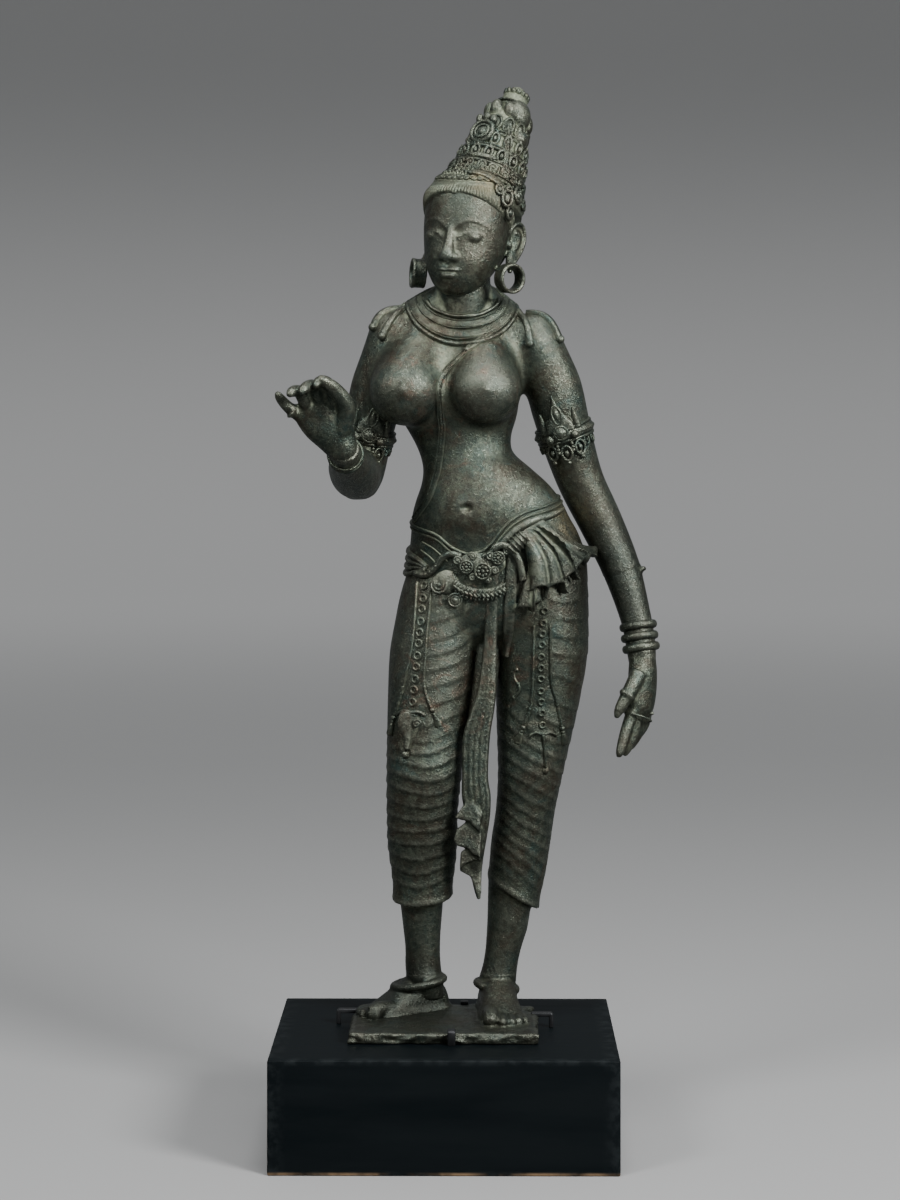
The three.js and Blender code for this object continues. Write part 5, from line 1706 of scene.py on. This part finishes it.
CROWN_FOOT = vec(23.5, 8, 599)
CROWN_TIP = vec(55.5, 38, 690)
CROWN_PROFILE = [
    (0, 35.5), (0.04, 34.8), (0.1, 32.2), (0.13, 31.4), (0.24, 28), (0.26, 26.8), (0.37, 25.2),
    (0.39, 24.2), (0.5, 21.5), (0.53, 18.6), (0.58, 19.4), (0.64, 19), (0.72, 17.2), (0.79, 13.6),
    (0.815, 10.4), (0.84, 11.6), (0.9, 10.4), (0.95, 8), (0.985, 4.6), (1, 1.5),
]
BROW_PLATE = [(17, 620.5), (24, 620.6), (30, 619), (36, 615.4), (41, 611)]
LENS_LEAF = [(17.5, 636.2), (27.4, 634.8), (37.5, 631.6)]
LEAF_COUNT = 11
STRAND_COUNT = 88
COMBED_TOP = 34.6
MEDALLION = (0.5, 0.3)  # share and angle
MEDALLION_SIZE = (9.2, 8.6)
REAR_MEDALLION = (0.46, math.pi)
CROWN_STRAP = [(46.5, 661), (45.8, 646.4), (44.8, 633.7), (43.2, 620.5)]
CROWN_LOBES = [((53, 21, 666.5), (10.5, 10.5, 12.5)), ((54, 16, 649), (7.5, 8.5, 7.5))]
TEMPLE_OVALS = [(45.6, -20, 602.8, 4.4, 6.2), (54, -8, 606, 4, 6), (49.5, -16, 592.5, 4.2, 4.6),
                (41.5, -24, 610, 3, 3.6)]
TEMPLE_CURLS = [(52, -10, 616, 3.4, 1), (54, -6, 623.5, 3.2, -1), (55, 0, 597, 3.4, 1),
                (49, -16, 621.5, 2.6, 1)]
CROWN_RINGS = [  # share, half thickness and number of beads
    (0.17, 1.0, 84), (0.25, 1.4, 0), (0.275, 1.1, 66), (0.38, 1.5, 0), (0.405, 1.1, 56),
    (0.515, 1.5, 0), (0.545, 1.0, 44), (0.815, 1.3, 0), (0.842, 1.2, 26),
]
OVAL_TIERS = [(0.33, 16, 3.0, 4.6), (0.46, 14, 2.8, 4.6)]  # share, number, half width and half height
SCROLL_ROW = (0.212, 20, 0.2)  # share, number and how proud; then 0 to start right in front
TALL_OVAL_ROW = (0.605, 12, -0.6, 0)
BULB_ROW = (0.73, 8, -2.8)
TOP_BEAD_ROW = (0.93, 14, -0.4, 0)
FOOT_OVALS = 24
HAIR_CURLS = 34
HAIR_RINGS = [(0.6, 1.3, 0), (2.8, 1.1, 84)]  # height over the combed hair, half thickness and beads
RING_STEPS = 150
CROWN_AXIS = CROWN_TIP - CROWN_FOOT
CROWN_UP = CROWN_AXIS.normalized()
LOOK = vec(math.sin(HEAD_TURN), -math.cos(HEAD_TURN), 0)
CROWN_FRONT = (LOOK - CROWN_UP * CROWN_UP.dot(LOOK)).normalized()
CROWN_SIDE = CROWN_FRONT.cross(CROWN_UP)


def on_crown(share, angle, proud=0.0):
    """A point on the crown and the way out of it."""
    radius = float(np.interp(share, *zip(*CROWN_PROFILE))) + proud
    way = CROWN_FRONT * math.cos(angle) + CROWN_SIDE * math.sin(angle)
    return CROWN_FOOT + CROWN_AXIS * share + way * radius, way


def on_dome(height, angle, proud=0.0):
    """A place on the hair over the head, in the crown's frame, and the way out of it."""
    point = HEAD_MATRIX @ HEAD.at(height, angle, proud + 1.2)
    return point, (HEAD_MATRIX @ HEAD.at(height, angle, proud + 6.2) - point).normalized()


def combed_hair(bm, surface):
    """Upright strands round the brow and down to the nape, with a roll, beads and curls above."""
    def combed(u, w):
        angle = u * TURN
        swell = math.sin(math.pi * clamp(0.04 + 0.9 * w)) ** 0.4
        strand = abs(math.sin(angle * STRAND_COUNT / 2))
        height = mix(hairline(angle), COMBED_TOP, w)
        return on_dome(height, angle, mix(-1.6, 0.4, swell) + 1.1 * strand * swell - 1.8 * w**3)[0]

    skin(bm, combed, STRAND_COUNT * 6, 16)
    for over, thick, beads in HAIR_RINGS:
        ring = [on_dome(COMBED_TOP + over, i / 180 * TURN, -1.0) for i in range(181)]
        strap(bm, ring, thick, thick, beads=beads, notch=0.5, loop=True)
    for i in range(HAIR_CURLS):
        spot = on_dome(COMBED_TOP + 3.4, (i + 0.5) / HAIR_CURLS * TURN)[0]
        point, out = surface.press(*spot, 0.5)
        curl(bm, point, out, 2.6, 1 if i % 2 else -1, CROWN_UP, 0.9)
        ball(bm, on_dome(COMBED_TOP + 8, i / HAIR_CURLS * TURN, 0.3)[0], (2.0, 2.0, 1.7), 2)


def round_crown(share, count, proud, shift=0.5):
    """Even places round the crown: the number of each, the place and the way out of it."""
    for i in range(count):
        yield i, *on_crown(share, (i + shift) / count * TURN, proud)


def crown_bosses(bm):
    """Rings, scrolls and rimmed ovals that repeat round the tiers."""
    for share, thick, beads in CROWN_RINGS:
        ring = [on_crown(share, mix(-math.pi, math.pi, i / RING_STEPS), 0.2)
                for i in range(RING_STEPS + 1)]
        strap(bm, ring, thick, thick, beads=beads, notch=0.5, loop=True)
    # Ovals round the foot of the crown, but for the place of the brow plate.
    for i in range(FOOT_OVALS):
        angle = mix(0.14, TURN - 1.0, i / (FOOT_OVALS - 1))
        point, out = on_crown(0.085, angle, 0.3)
        oval(bm, point, out, 2.6, 3.6, 1.1, CROWN_UP)
        ball(bm, on_crown(0.14, angle + 0.11)[0], 1.5, 2)
    for i, point, out in round_crown(*SCROLL_ROW):
        curl(bm, point, out, 3.5, 1 if i % 2 else -1, CROWN_UP, 1.2)
    for share, count, wide, tall in OVAL_TIERS:
        for _, point, out in round_crown(share, count, 0.2):
            oval(bm, point, out, wide, tall, 1.3, CROWN_UP)
            ball(bm, point + CROWN_UP * (tall + 1) - out * 0.2, (1.3, 1.3, 1.6), 2)
    for _, point, out in round_crown(*TALL_OVAL_ROW):
        oval(bm, point, out, 3.8, 6, 1.3, CROWN_UP, 0.78)
    for _, point, _ in round_crown(*BULB_ROW):
        ball(bm, point, (5.4, 5.4, 8.4))
    for _, point, _ in round_crown(*TOP_BEAD_ROW):
        ball(bm, point, (1.9, 1.9, 2.6), 2)


def crown_front(bm, surface):
    """What shows from the front: the brow plate, a row of leaves, the medallion and its straps."""
    def lens(w):
        return math.sin(math.pi * clamp(0.06 + 0.88 * w)) ** 0.6

    strap(bm, surface.lay(BROW_PLATE, 0.8, 1.4), 3.8, 1.5, around=14, taper=lens, edge=0.5)
    strap(bm, surface.lay(LENS_LEAF, 0.8, 1.0), 2.2, 1.8, around=12, taper=lens, edge=0.5)
    for i in range(LEAF_COUNT):
        x = mix(6, 38, i / (LEAF_COUNT - 1))
        point, out = surface.spot(x, 626.5 - (x - 6) * 0.1, 0.7)
        oval(bm, point, out, 1.3, 3.2, 0.75, CROWN_UP, 0.5)
    point, out = on_crown(*MEDALLION, 1.2)
    out, up, side = ways_at(out, CROWN_UP)
    wide, tall = MEDALLION_SIZE
    ball(bm, point - out, (wide, tall, 2.4), 4, turned(side, up, out))
    oval(bm, point + out * 0.4, out, wide, tall, 1.8, CROWN_UP, 0)
    oval(bm, point + out * 1.2, out, 5.8, 5.2, 1.0, CROWN_UP, 0.6)
    for offset in (-0.55, 0, 0.55):
        way = CROWN_UP * math.cos(offset) + CROWN_UP.cross(out) * math.sin(offset)
        ball(bm, point + way * 12, (3, 3, 4))
    straps = surface.lay(CROWN_STRAP, 0.8, 0.9)
    strap(bm, straps, 2.3, 1.5, around=12)
    strap(bm, [(p + n, n) for p, n in straps], 1.1, 1.3, beads=16, notch=0.6)
    for side in (-1, 1):
        strap(bm, side_ways(straps, side * 2.2), 0.6, 1.8)
    for centre, radii in CROWN_LOBES:
        ball(bm, centre, radii, 4)
    for x, y, z, wide, tall in TEMPLE_OVALS:
        point, out = surface.press(x, y, z, 1.6)
        oval(bm, point, out, wide, tall, 1.4, CROWN_UP, 0.66)
    for x, y, z, size, hand in TEMPLE_CURLS:
        point, out = surface.press(x, y, z, 1.2)
        curl(bm, point, out, size, hand, CROWN_UP, 1.2)


def build_crown():
    """The crown and the hair under it, with all the ornament that lies on them."""
    bm = bmesh.new()
    skin(bm, lambda u, w: on_crown(w, u * TURN, -0.9)[0], 96, 64)
    dome_top = HEAD_TOP - 0.5
    skin(bm, lambda u, w: on_dome(mix(hairline(u * TURN) + 1, dome_top, w), u * TURN)[0], 120, 24)
    bmesh.ops.recalc_face_normals(bm, faces=bm.faces)
    surface = Surface(shells=bm)
    combed_hair(bm, surface)
    crown_bosses(bm)
    crown_front(bm, surface)
    # A plainer medallion behind.
    point, out = on_crown(*REAR_MEDALLION, 1.8)
    oval(bm, point, out, 7.4, 8.2, 1.4, CROWN_UP, 0.8)
    chased(bm, "figure_crown", surface, 2.9)


# The stage.

PICTURE_HEIGHT = 1200  # pixels
LENS = 86.9
CAMERA_PLACE = (0.0205, -2.1375, 0.540)
CAMERA_YAW = math.radians(0.455)
HORIZON_ROW = 406  # pixels from the top
FLOOR_REACH = 6.0
SWEEP = 3.0  # radius of the floor's upward curve
SWEEP_STEPS = 12
LAMPS = [  # name, place, width and the setting that holds its power
    ("lamp_upper_left", (-1.5, -1.7, 2.0), 0.9, "left_power"),
    ("lamp_upper_right", (1.5, -1.65, 1.45), 0.8, "right_power"),
    ("lamp_overhead", (0.1, -0.9, 2.9), 1.1, "top_power"),
]
LAMP_AIM = (0.02, 0, 0.42)
ROOM_TINT = (0.8, 0.83, 0.85, 1)


def build_stage():
    """A pale round floor that sweeps up all round, three soft lamps and the camera."""
    look = bpy.context.scene.stage_look
    floor = bmesh.new()
    bmesh.ops.create_circle(floor, cap_ends=True, segments=96, radius=FLOOR_REACH)
    edges = list(floor.edges)
    for i in range(1, SWEEP_STEPS + 1):
        a = i / SWEEP_STEPS * math.pi / 2
        grown = bmesh.ops.extrude_edge_only(floor, edges=edges)["geom"]
        corners = [g for g in grown if isinstance(g, bmesh.types.BMVert)]
        edges = [g for g in grown if isinstance(g, bmesh.types.BMEdge)]
        for vert in corners:
            way = vec(vert.co.x, vert.co.y, 0).normalized()
            vert.co = way * (FLOOR_REACH + SWEEP * math.sin(a)) + vec(0, 0, SWEEP * (1 - math.cos(a)))
    bmesh.ops.recalc_face_normals(floor, faces=floor.faces)
    mesh = new_mesh(floor, "floor")
    mesh.shade_smooth()
    mesh.materials.append(floor_paint(look))
    ground = show("floor", mesh)
    ground.visible_glossy = False

    for name, place, width, power in LAMPS:
        lamp = bpy.data.lights.new(name, "AREA")
        lamp.shape = "DISK"
        lamp.size = width
        lamp.energy = getattr(look, power)
        holder = show(name, lamp)
        holder.location = place
        aim = Vector(LAMP_AIM) - Vector(place)
        holder.rotation_euler = aim.to_track_quat("-Z", "Y").to_euler()
        holder.visible_camera = False

    build_room(look)

    camera = bpy.data.cameras.new("camera")
    camera.lens = LENS
    camera.shift_y = (HORIZON_ROW - PICTURE_HEIGHT / 2) / PICTURE_HEIGHT
    viewer = show("camera", camera)
    viewer.location = CAMERA_PLACE
    viewer.rotation_euler = (math.pi / 2, 0, CAMERA_YAW)
    bpy.context.scene.camera = viewer


def floor_paint(look):
    """The floor glows a little by itself far off, a painted light, so that it fades evenly into the sweep.
    """
    paint = Paint("pale_floor", Roughness=0.85)
    far = paint.node("VectorMath")
    far.operation = "LENGTH"
    paint.feed(far.inputs[0], paint.stretched((1, 1, 0)))
    glow = paint.span(far.outputs["Value"], 1.2, FLOOR_REACH, 0, look.far_glow)
    glow = paint.times(glow, paint.span(paint.height(), 0.1, 1.9, 1, 0.15))
    tone = paint.blend(paint.noise(2.0, 2), tuple(look.floor), tuple(look.floor * 1.03))
    return paint.give(Base_Color=tone, Emission_Color=(1, 1, 1), Emission_Strength=glow)


def build_room(look):
    """Light from all round, dim below the horizon and brighter overhead."""
    world = bpy.data.worlds.new("pale_room")
    world.use_nodes = True
    tree = world.node_tree
    place = tree.nodes.new("ShaderNodeTexCoord")
    parts = tree.nodes.new("ShaderNodeSeparateXYZ")
    ramp = tree.nodes.new("ShaderNodeMapRange")
    ramp.interpolation_type = "SMOOTHSTEP"
    tree.links.new(place.outputs["Generated"], parts.inputs[0])
    tree.links.new(parts.outputs["Z"], ramp.inputs["Value"])
    for socket, value in (("From Min", 0.12), ("From Max", 0.9), ("To Min", look.room_light * 0.3),
                          ("To Max", look.room_light)):
        ramp.inputs[socket].default_value = value
    backdrop = tree.nodes["Background"]
    backdrop.inputs["Color"].default_value = ROOM_TINT
    tree.links.new(ramp.outputs["Result"], backdrop.inputs["Strength"])
    bpy.context.scene.world = world


PLINTH_CUTS = 18
PLINTH_SHARP = 1.0  # the angle, in radians, from which an edge is rounded
CLIP_SHARP = 0.5
WORN_REACH = 1.3  # how far the wear reaches from an edge, in times its rounding


def round_edges(bm, least_angle, offset, segments):
    """Bevels every edge that is sharper than an angle."""
    sharp = [edge for edge in bm.edges if edge.calc_face_angle(0) > least_angle]
    bmesh.ops.bevel(bm, geom=sharp, offset=offset, segments=segments, affect="EDGES", profile=0.5,
                    material=-1)


def build_plinth():
    """The painted block, with its edges a little rounded and marked for wear."""
    rounding = bpy.context.scene.statue_sizes.plinth_edge
    middle = (PLINTH_LOW + PLINTH_HIGH) / 2
    half = (PLINTH_HIGH - PLINTH_LOW) / 2
    bm = bmesh.new()
    place = Matrix.Translation(middle) @ Matrix.Diagonal((*(PLINTH_HIGH - PLINTH_LOW), 1))
    bmesh.ops.create_cube(bm, size=1, matrix=place)
    bmesh.ops.subdivide_edges(bm, edges=bm.edges, cuts=PLINTH_CUTS, use_grid_fill=True)
    round_edges(bm, PLINTH_SHARP, rounding, 3)
    bmesh.ops.recalc_face_normals(bm, faces=bm.faces)
    mesh = new_mesh(bm, "plinth")
    worn = []
    for vert in mesh.vertices:
        nearness = sorted(half[i] - abs(vert.co[i] - middle[i]) for i in range(3))
        worn.append(1.0 if nearness[1] < rounding * WORN_REACH else 0.0)
    mark(mesh, "edge", worn)
    set_piece(mesh, "painted_plinth", painted_wood(), replaces="plinth")
    mesh.set_sharp_from_angle(angle=math.radians(50))


def build_clips():
    """Each clip as a rounded bar a little thicker than its plain form."""
    rounding = bpy.context.scene.statue_sizes.clip_edge
    for name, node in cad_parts.items():
        if not name.startswith("clip"):
            continue
        bm = bmesh.new()
        bm.from_mesh(node.data)
        bm.transform(node.matrix_world)
        bmesh.ops.remove_doubles(bm, verts=bm.verts, dist=rounding / 20)
        bmesh.ops.dissolve_limit(bm, angle_limit=0.02, verts=bm.verts, edges=bm.edges)
        bm.normal_update()
        moves = [(vert, vert.normal * vert.calc_shell_factor() * rounding / 2) for vert in bm.verts]
        for vert, move in moves:
            vert.co += move
        round_edges(bm, CLIP_SHARP, rounding, 2)
        mesh = new_mesh(bm, f"rounded_{name}")
        set_piece(mesh, f"rounded_{name}", black_steel(), replaces=name)


# What a user may change.

class StatueSizes(bpy.types.PropertyGroup):
    skin: FloatProperty(name="Body skin", default=1.45, min=0.8,
                        description="Width of the body's and the dress's faces, in shares")
    feet_skin: FloatProperty(name="Feet skin", default=1.05, min=0.6,
                             description="Width of the faces of the feet and base plate, in shares")
    hand_skin: FloatProperty(name="Hand skin", default=0.9, min=0.4,
                             description="Width of the hands' faces, in shares")
    head_skin: FloatProperty(name="Head skin", default=0.84, min=0.4,
                             description="Width of the head's faces, in shares")
    sash_skin: FloatProperty(name="Sash skin", default=0.95, min=0.5,
                             description="Width of the sash's faces, in shares")
    clip_edge: FloatProperty(name="Clip edge", default=0.0007, unit="LENGTH",
                             description="Rounding of the clips' edges")
    plinth_edge: FloatProperty(name="Plinth edge", default=0.0012, unit="LENGTH",
                               description="Rounding of the plinth's edges")


def tint(name, colour, description):
    return FloatVectorProperty(name=name, subtype="COLOR", size=3, default=colour, min=0, max=1,
                               description=description)


class BronzeLook(bpy.types.PropertyGroup):
    dark_green: tint("Dark green", (0.043, 0.058, 0.046), "The patina's main colour")
    dark_brown: tint("Dark brown", (0.053, 0.048, 0.034), "The patina's browner clouds")
    blue_green: tint("Blue green", (0.042, 0.078, 0.070), "Cooler drifts")
    olive: tint("Olive", (0.104, 0.120, 0.088), "Fine lighter mottling")
    # This colour also paints the shade on the feet, the hanging forearm and the sash's flaps.
    pits_and_shade: tint("Pits", (0.018, 0.020, 0.016), "The small dark pits of the cast skin")
    red_brown: tint("Red brown", (0.130, 0.060, 0.038), "Bare reddish metal on the thighs and chest")
    verdigris: tint("Verdigris", (0.240, 0.265, 0.190), "Pale bloom that gathers in hollows")
    ochre: tint("Ochre", (0.250, 0.205, 0.115), "Earthy crust on the left hip and the brow plate")
    # This colour also paints highlights on the face, a thigh and a breast.
    rubbed_and_highlight: tint("Rubbed", (0.190, 0.200, 0.160), "Ridges that handling has brightened")
    red_share: FloatProperty(name="Red share", default=0.5, min=0, max=1,
                             description="How red the bare places are")
    metallic: FloatProperty(name="Metallic", default=0.78, min=0, max=1,
                            description="How metallic the patina looks")
    roughness: FloatProperty(name="Roughness", default=0.3, min=0.05, max=1,
                             description="Mean roughness of the patina")
    wrinkles: FloatProperty(name="Wrinkles", default=0.55, min=0, max=1,
                            description="Strength of the cast skin's fine relief")


class PlinthLook(bpy.types.PropertyGroup):
    paint: tint("Paint", (0.0025, 0.0040, 0.0048), "The blue-black paint")
    paint_worn: tint("Worn paint", (0.0045, 0.0062, 0.0070), "Paint where it has dulled")
    edge: tint("Edges", (0.014, 0.017, 0.018), "Scuffed edges")
    bare_wood: tint("Bare wood", (0.160, 0.105, 0.060), "Wood showing along the foot")
    roughness: FloatProperty(name="Roughness", default=0.46, min=0.05, max=1,
                             description="Mean roughness of the paint")


class StageLook(bpy.types.PropertyGroup):
    floor: tint("Floor", (0.30, 0.30, 0.30), "The pale floor")
    far_glow: FloatProperty(name="Far glow", default=0.19, min=0, description="How the far floor lightens")
    left_power: FloatProperty(name="Upper left lamp", default=35, unit="POWER", description="Its power")
    right_power: FloatProperty(name="Upper right lamp", default=92, unit="POWER", description="Its power")
    top_power: FloatProperty(name="Overhead lamp", default=50, unit="POWER", description="Its power")
    room_light: FloatProperty(name="Room light", default=0.5, min=0, description="Light from all round")


GROUPS = {"statue_sizes": StatueSizes, "bronze_look": BronzeLook, "plinth_look": PlinthLook,
          "stage_look": StageLook}


# One operator for each piece.

class STATUE_OT_stage(bpy.types.Operator):
    """Set the floor, the lamps and the camera"""
    bl_idname = "statue.stage"
    bl_label = "Stage"

    def execute(self, context):
        build_stage()
        return {"FINISHED"}


class STATUE_OT_plinth(bpy.types.Operator):
    """Make the painted plinth and finish the clips"""
    bl_idname = "statue.plinth"
    bl_label = "Plinth and clips"

    def execute(self, context):
        build_plinth()
        build_clips()
        return {"FINISHED"}


class STATUE_OT_body(bpy.types.Operator):
    """Cast the torso and arms"""
    bl_idname = "statue.body"
    bl_label = "Torso and arms"

    def execute(self, context):
        build_body()
        return {"FINISHED"}


class STATUE_OT_dress(bpy.types.Operator):
    """Cast the legs and the cloth wrapped round them"""
    bl_idname = "statue.dress"
    bl_label = "Dress"

    def execute(self, context):
        build_dress()
        return {"FINISHED"}


class STATUE_OT_base(bpy.types.Operator):
    """Cast the feet, the anklets and the base plate"""
    bl_idname = "statue.base"
    bl_label = "Feet and base plate"

    def execute(self, context):
        build_base()
        return {"FINISHED"}


class STATUE_OT_hands(bpy.types.Operator):
    """Cast the hands and their rings"""
    bl_idname = "statue.hands"
    bl_label = "Hands"

    def execute(self, context):
        build_hands()
        return {"FINISHED"}


class STATUE_OT_head(bpy.types.Operator):
    """Cast the head, ears and earrings"""
    bl_idname = "statue.head"
    bl_label = "Head"

    def execute(self, context):
        build_head()
        return {"FINISHED"}


class STATUE_OT_crown(bpy.types.Operator):
    """Cast the tiered crown"""
    bl_idname = "statue.crown"
    bl_label = "Crown"

    def execute(self, context):
        build_crown()
        return {"FINISHED"}


class STATUE_OT_jewels(bpy.types.Operator):
    """Lay the collars, thread, armlets and bangles on the body"""
    bl_idname = "statue.jewels"
    bl_label = "Jewels"

    def execute(self, context):
        build_jewels()
        return {"FINISHED"}


class STATUE_OT_girdle(bpy.types.Operator):
    """Lay the girdle, its clasp and its chains over the dress"""
    bl_idname = "statue.girdle"
    bl_label = "Girdle"

    def execute(self, context):
        build_girdle()
        return {"FINISHED"}


class STATUE_OT_sash(bpy.types.Operator):
    """Hang the pleated sash on the hip and between the legs"""
    bl_idname = "statue.sash"
    bl_label = "Sash"

    def execute(self, context):
        build_sash()
        return {"FINISHED"}


OPERATORS = [STATUE_OT_stage, STATUE_OT_plinth, STATUE_OT_body, STATUE_OT_dress, STATUE_OT_base,
             STATUE_OT_hands, STATUE_OT_head, STATUE_OT_crown, STATUE_OT_jewels, STATUE_OT_girdle,
             STATUE_OT_sash]


class STATUE_PT_pieces(bpy.types.Panel):
    """The statue's pieces and looks"""
    bl_label = "Bronze goddess"
    bl_idname = "STATUE_PT_pieces"
    bl_space_type = "VIEW_3D"
    bl_region_type = "UI"
    bl_category = "Statue"

    def draw(self, context):
        for operator in OPERATORS:
            self.layout.operator(operator.bl_idname)
        for group in GROUPS:
            box = self.layout.box()
            for name in GROUPS[group].__annotations__:
                box.prop(getattr(context.scene, group), name)


def register():
    for kind in [*GROUPS.values(), *OPERATORS, STATUE_PT_pieces]:
        bpy.utils.register_class(kind)
    for name, group in GROUPS.items():
        setattr(bpy.types.Scene, name, PointerProperty(type=group))


def unregister():
    for name in GROUPS:
        delattr(bpy.types.Scene, name)
    for kind in reversed([*GROUPS.values(), *OPERATORS, STATUE_PT_pieces]):
        bpy.utils.unregister_class(kind)


def main():
    register()
    bpy.ops.statue.stage()
    bpy.ops.statue.plinth()
    bpy.ops.statue.body()
    bpy.ops.statue.dress()
    bpy.ops.statue.base()
    bpy.ops.statue.hands()
    bpy.ops.statue.head()
    bpy.ops.statue.crown()
    bpy.ops.statue.jewels()
    bpy.ops.statue.girdle()
    bpy.ops.statue.sash()


if __name__ == "__main__":
    main()
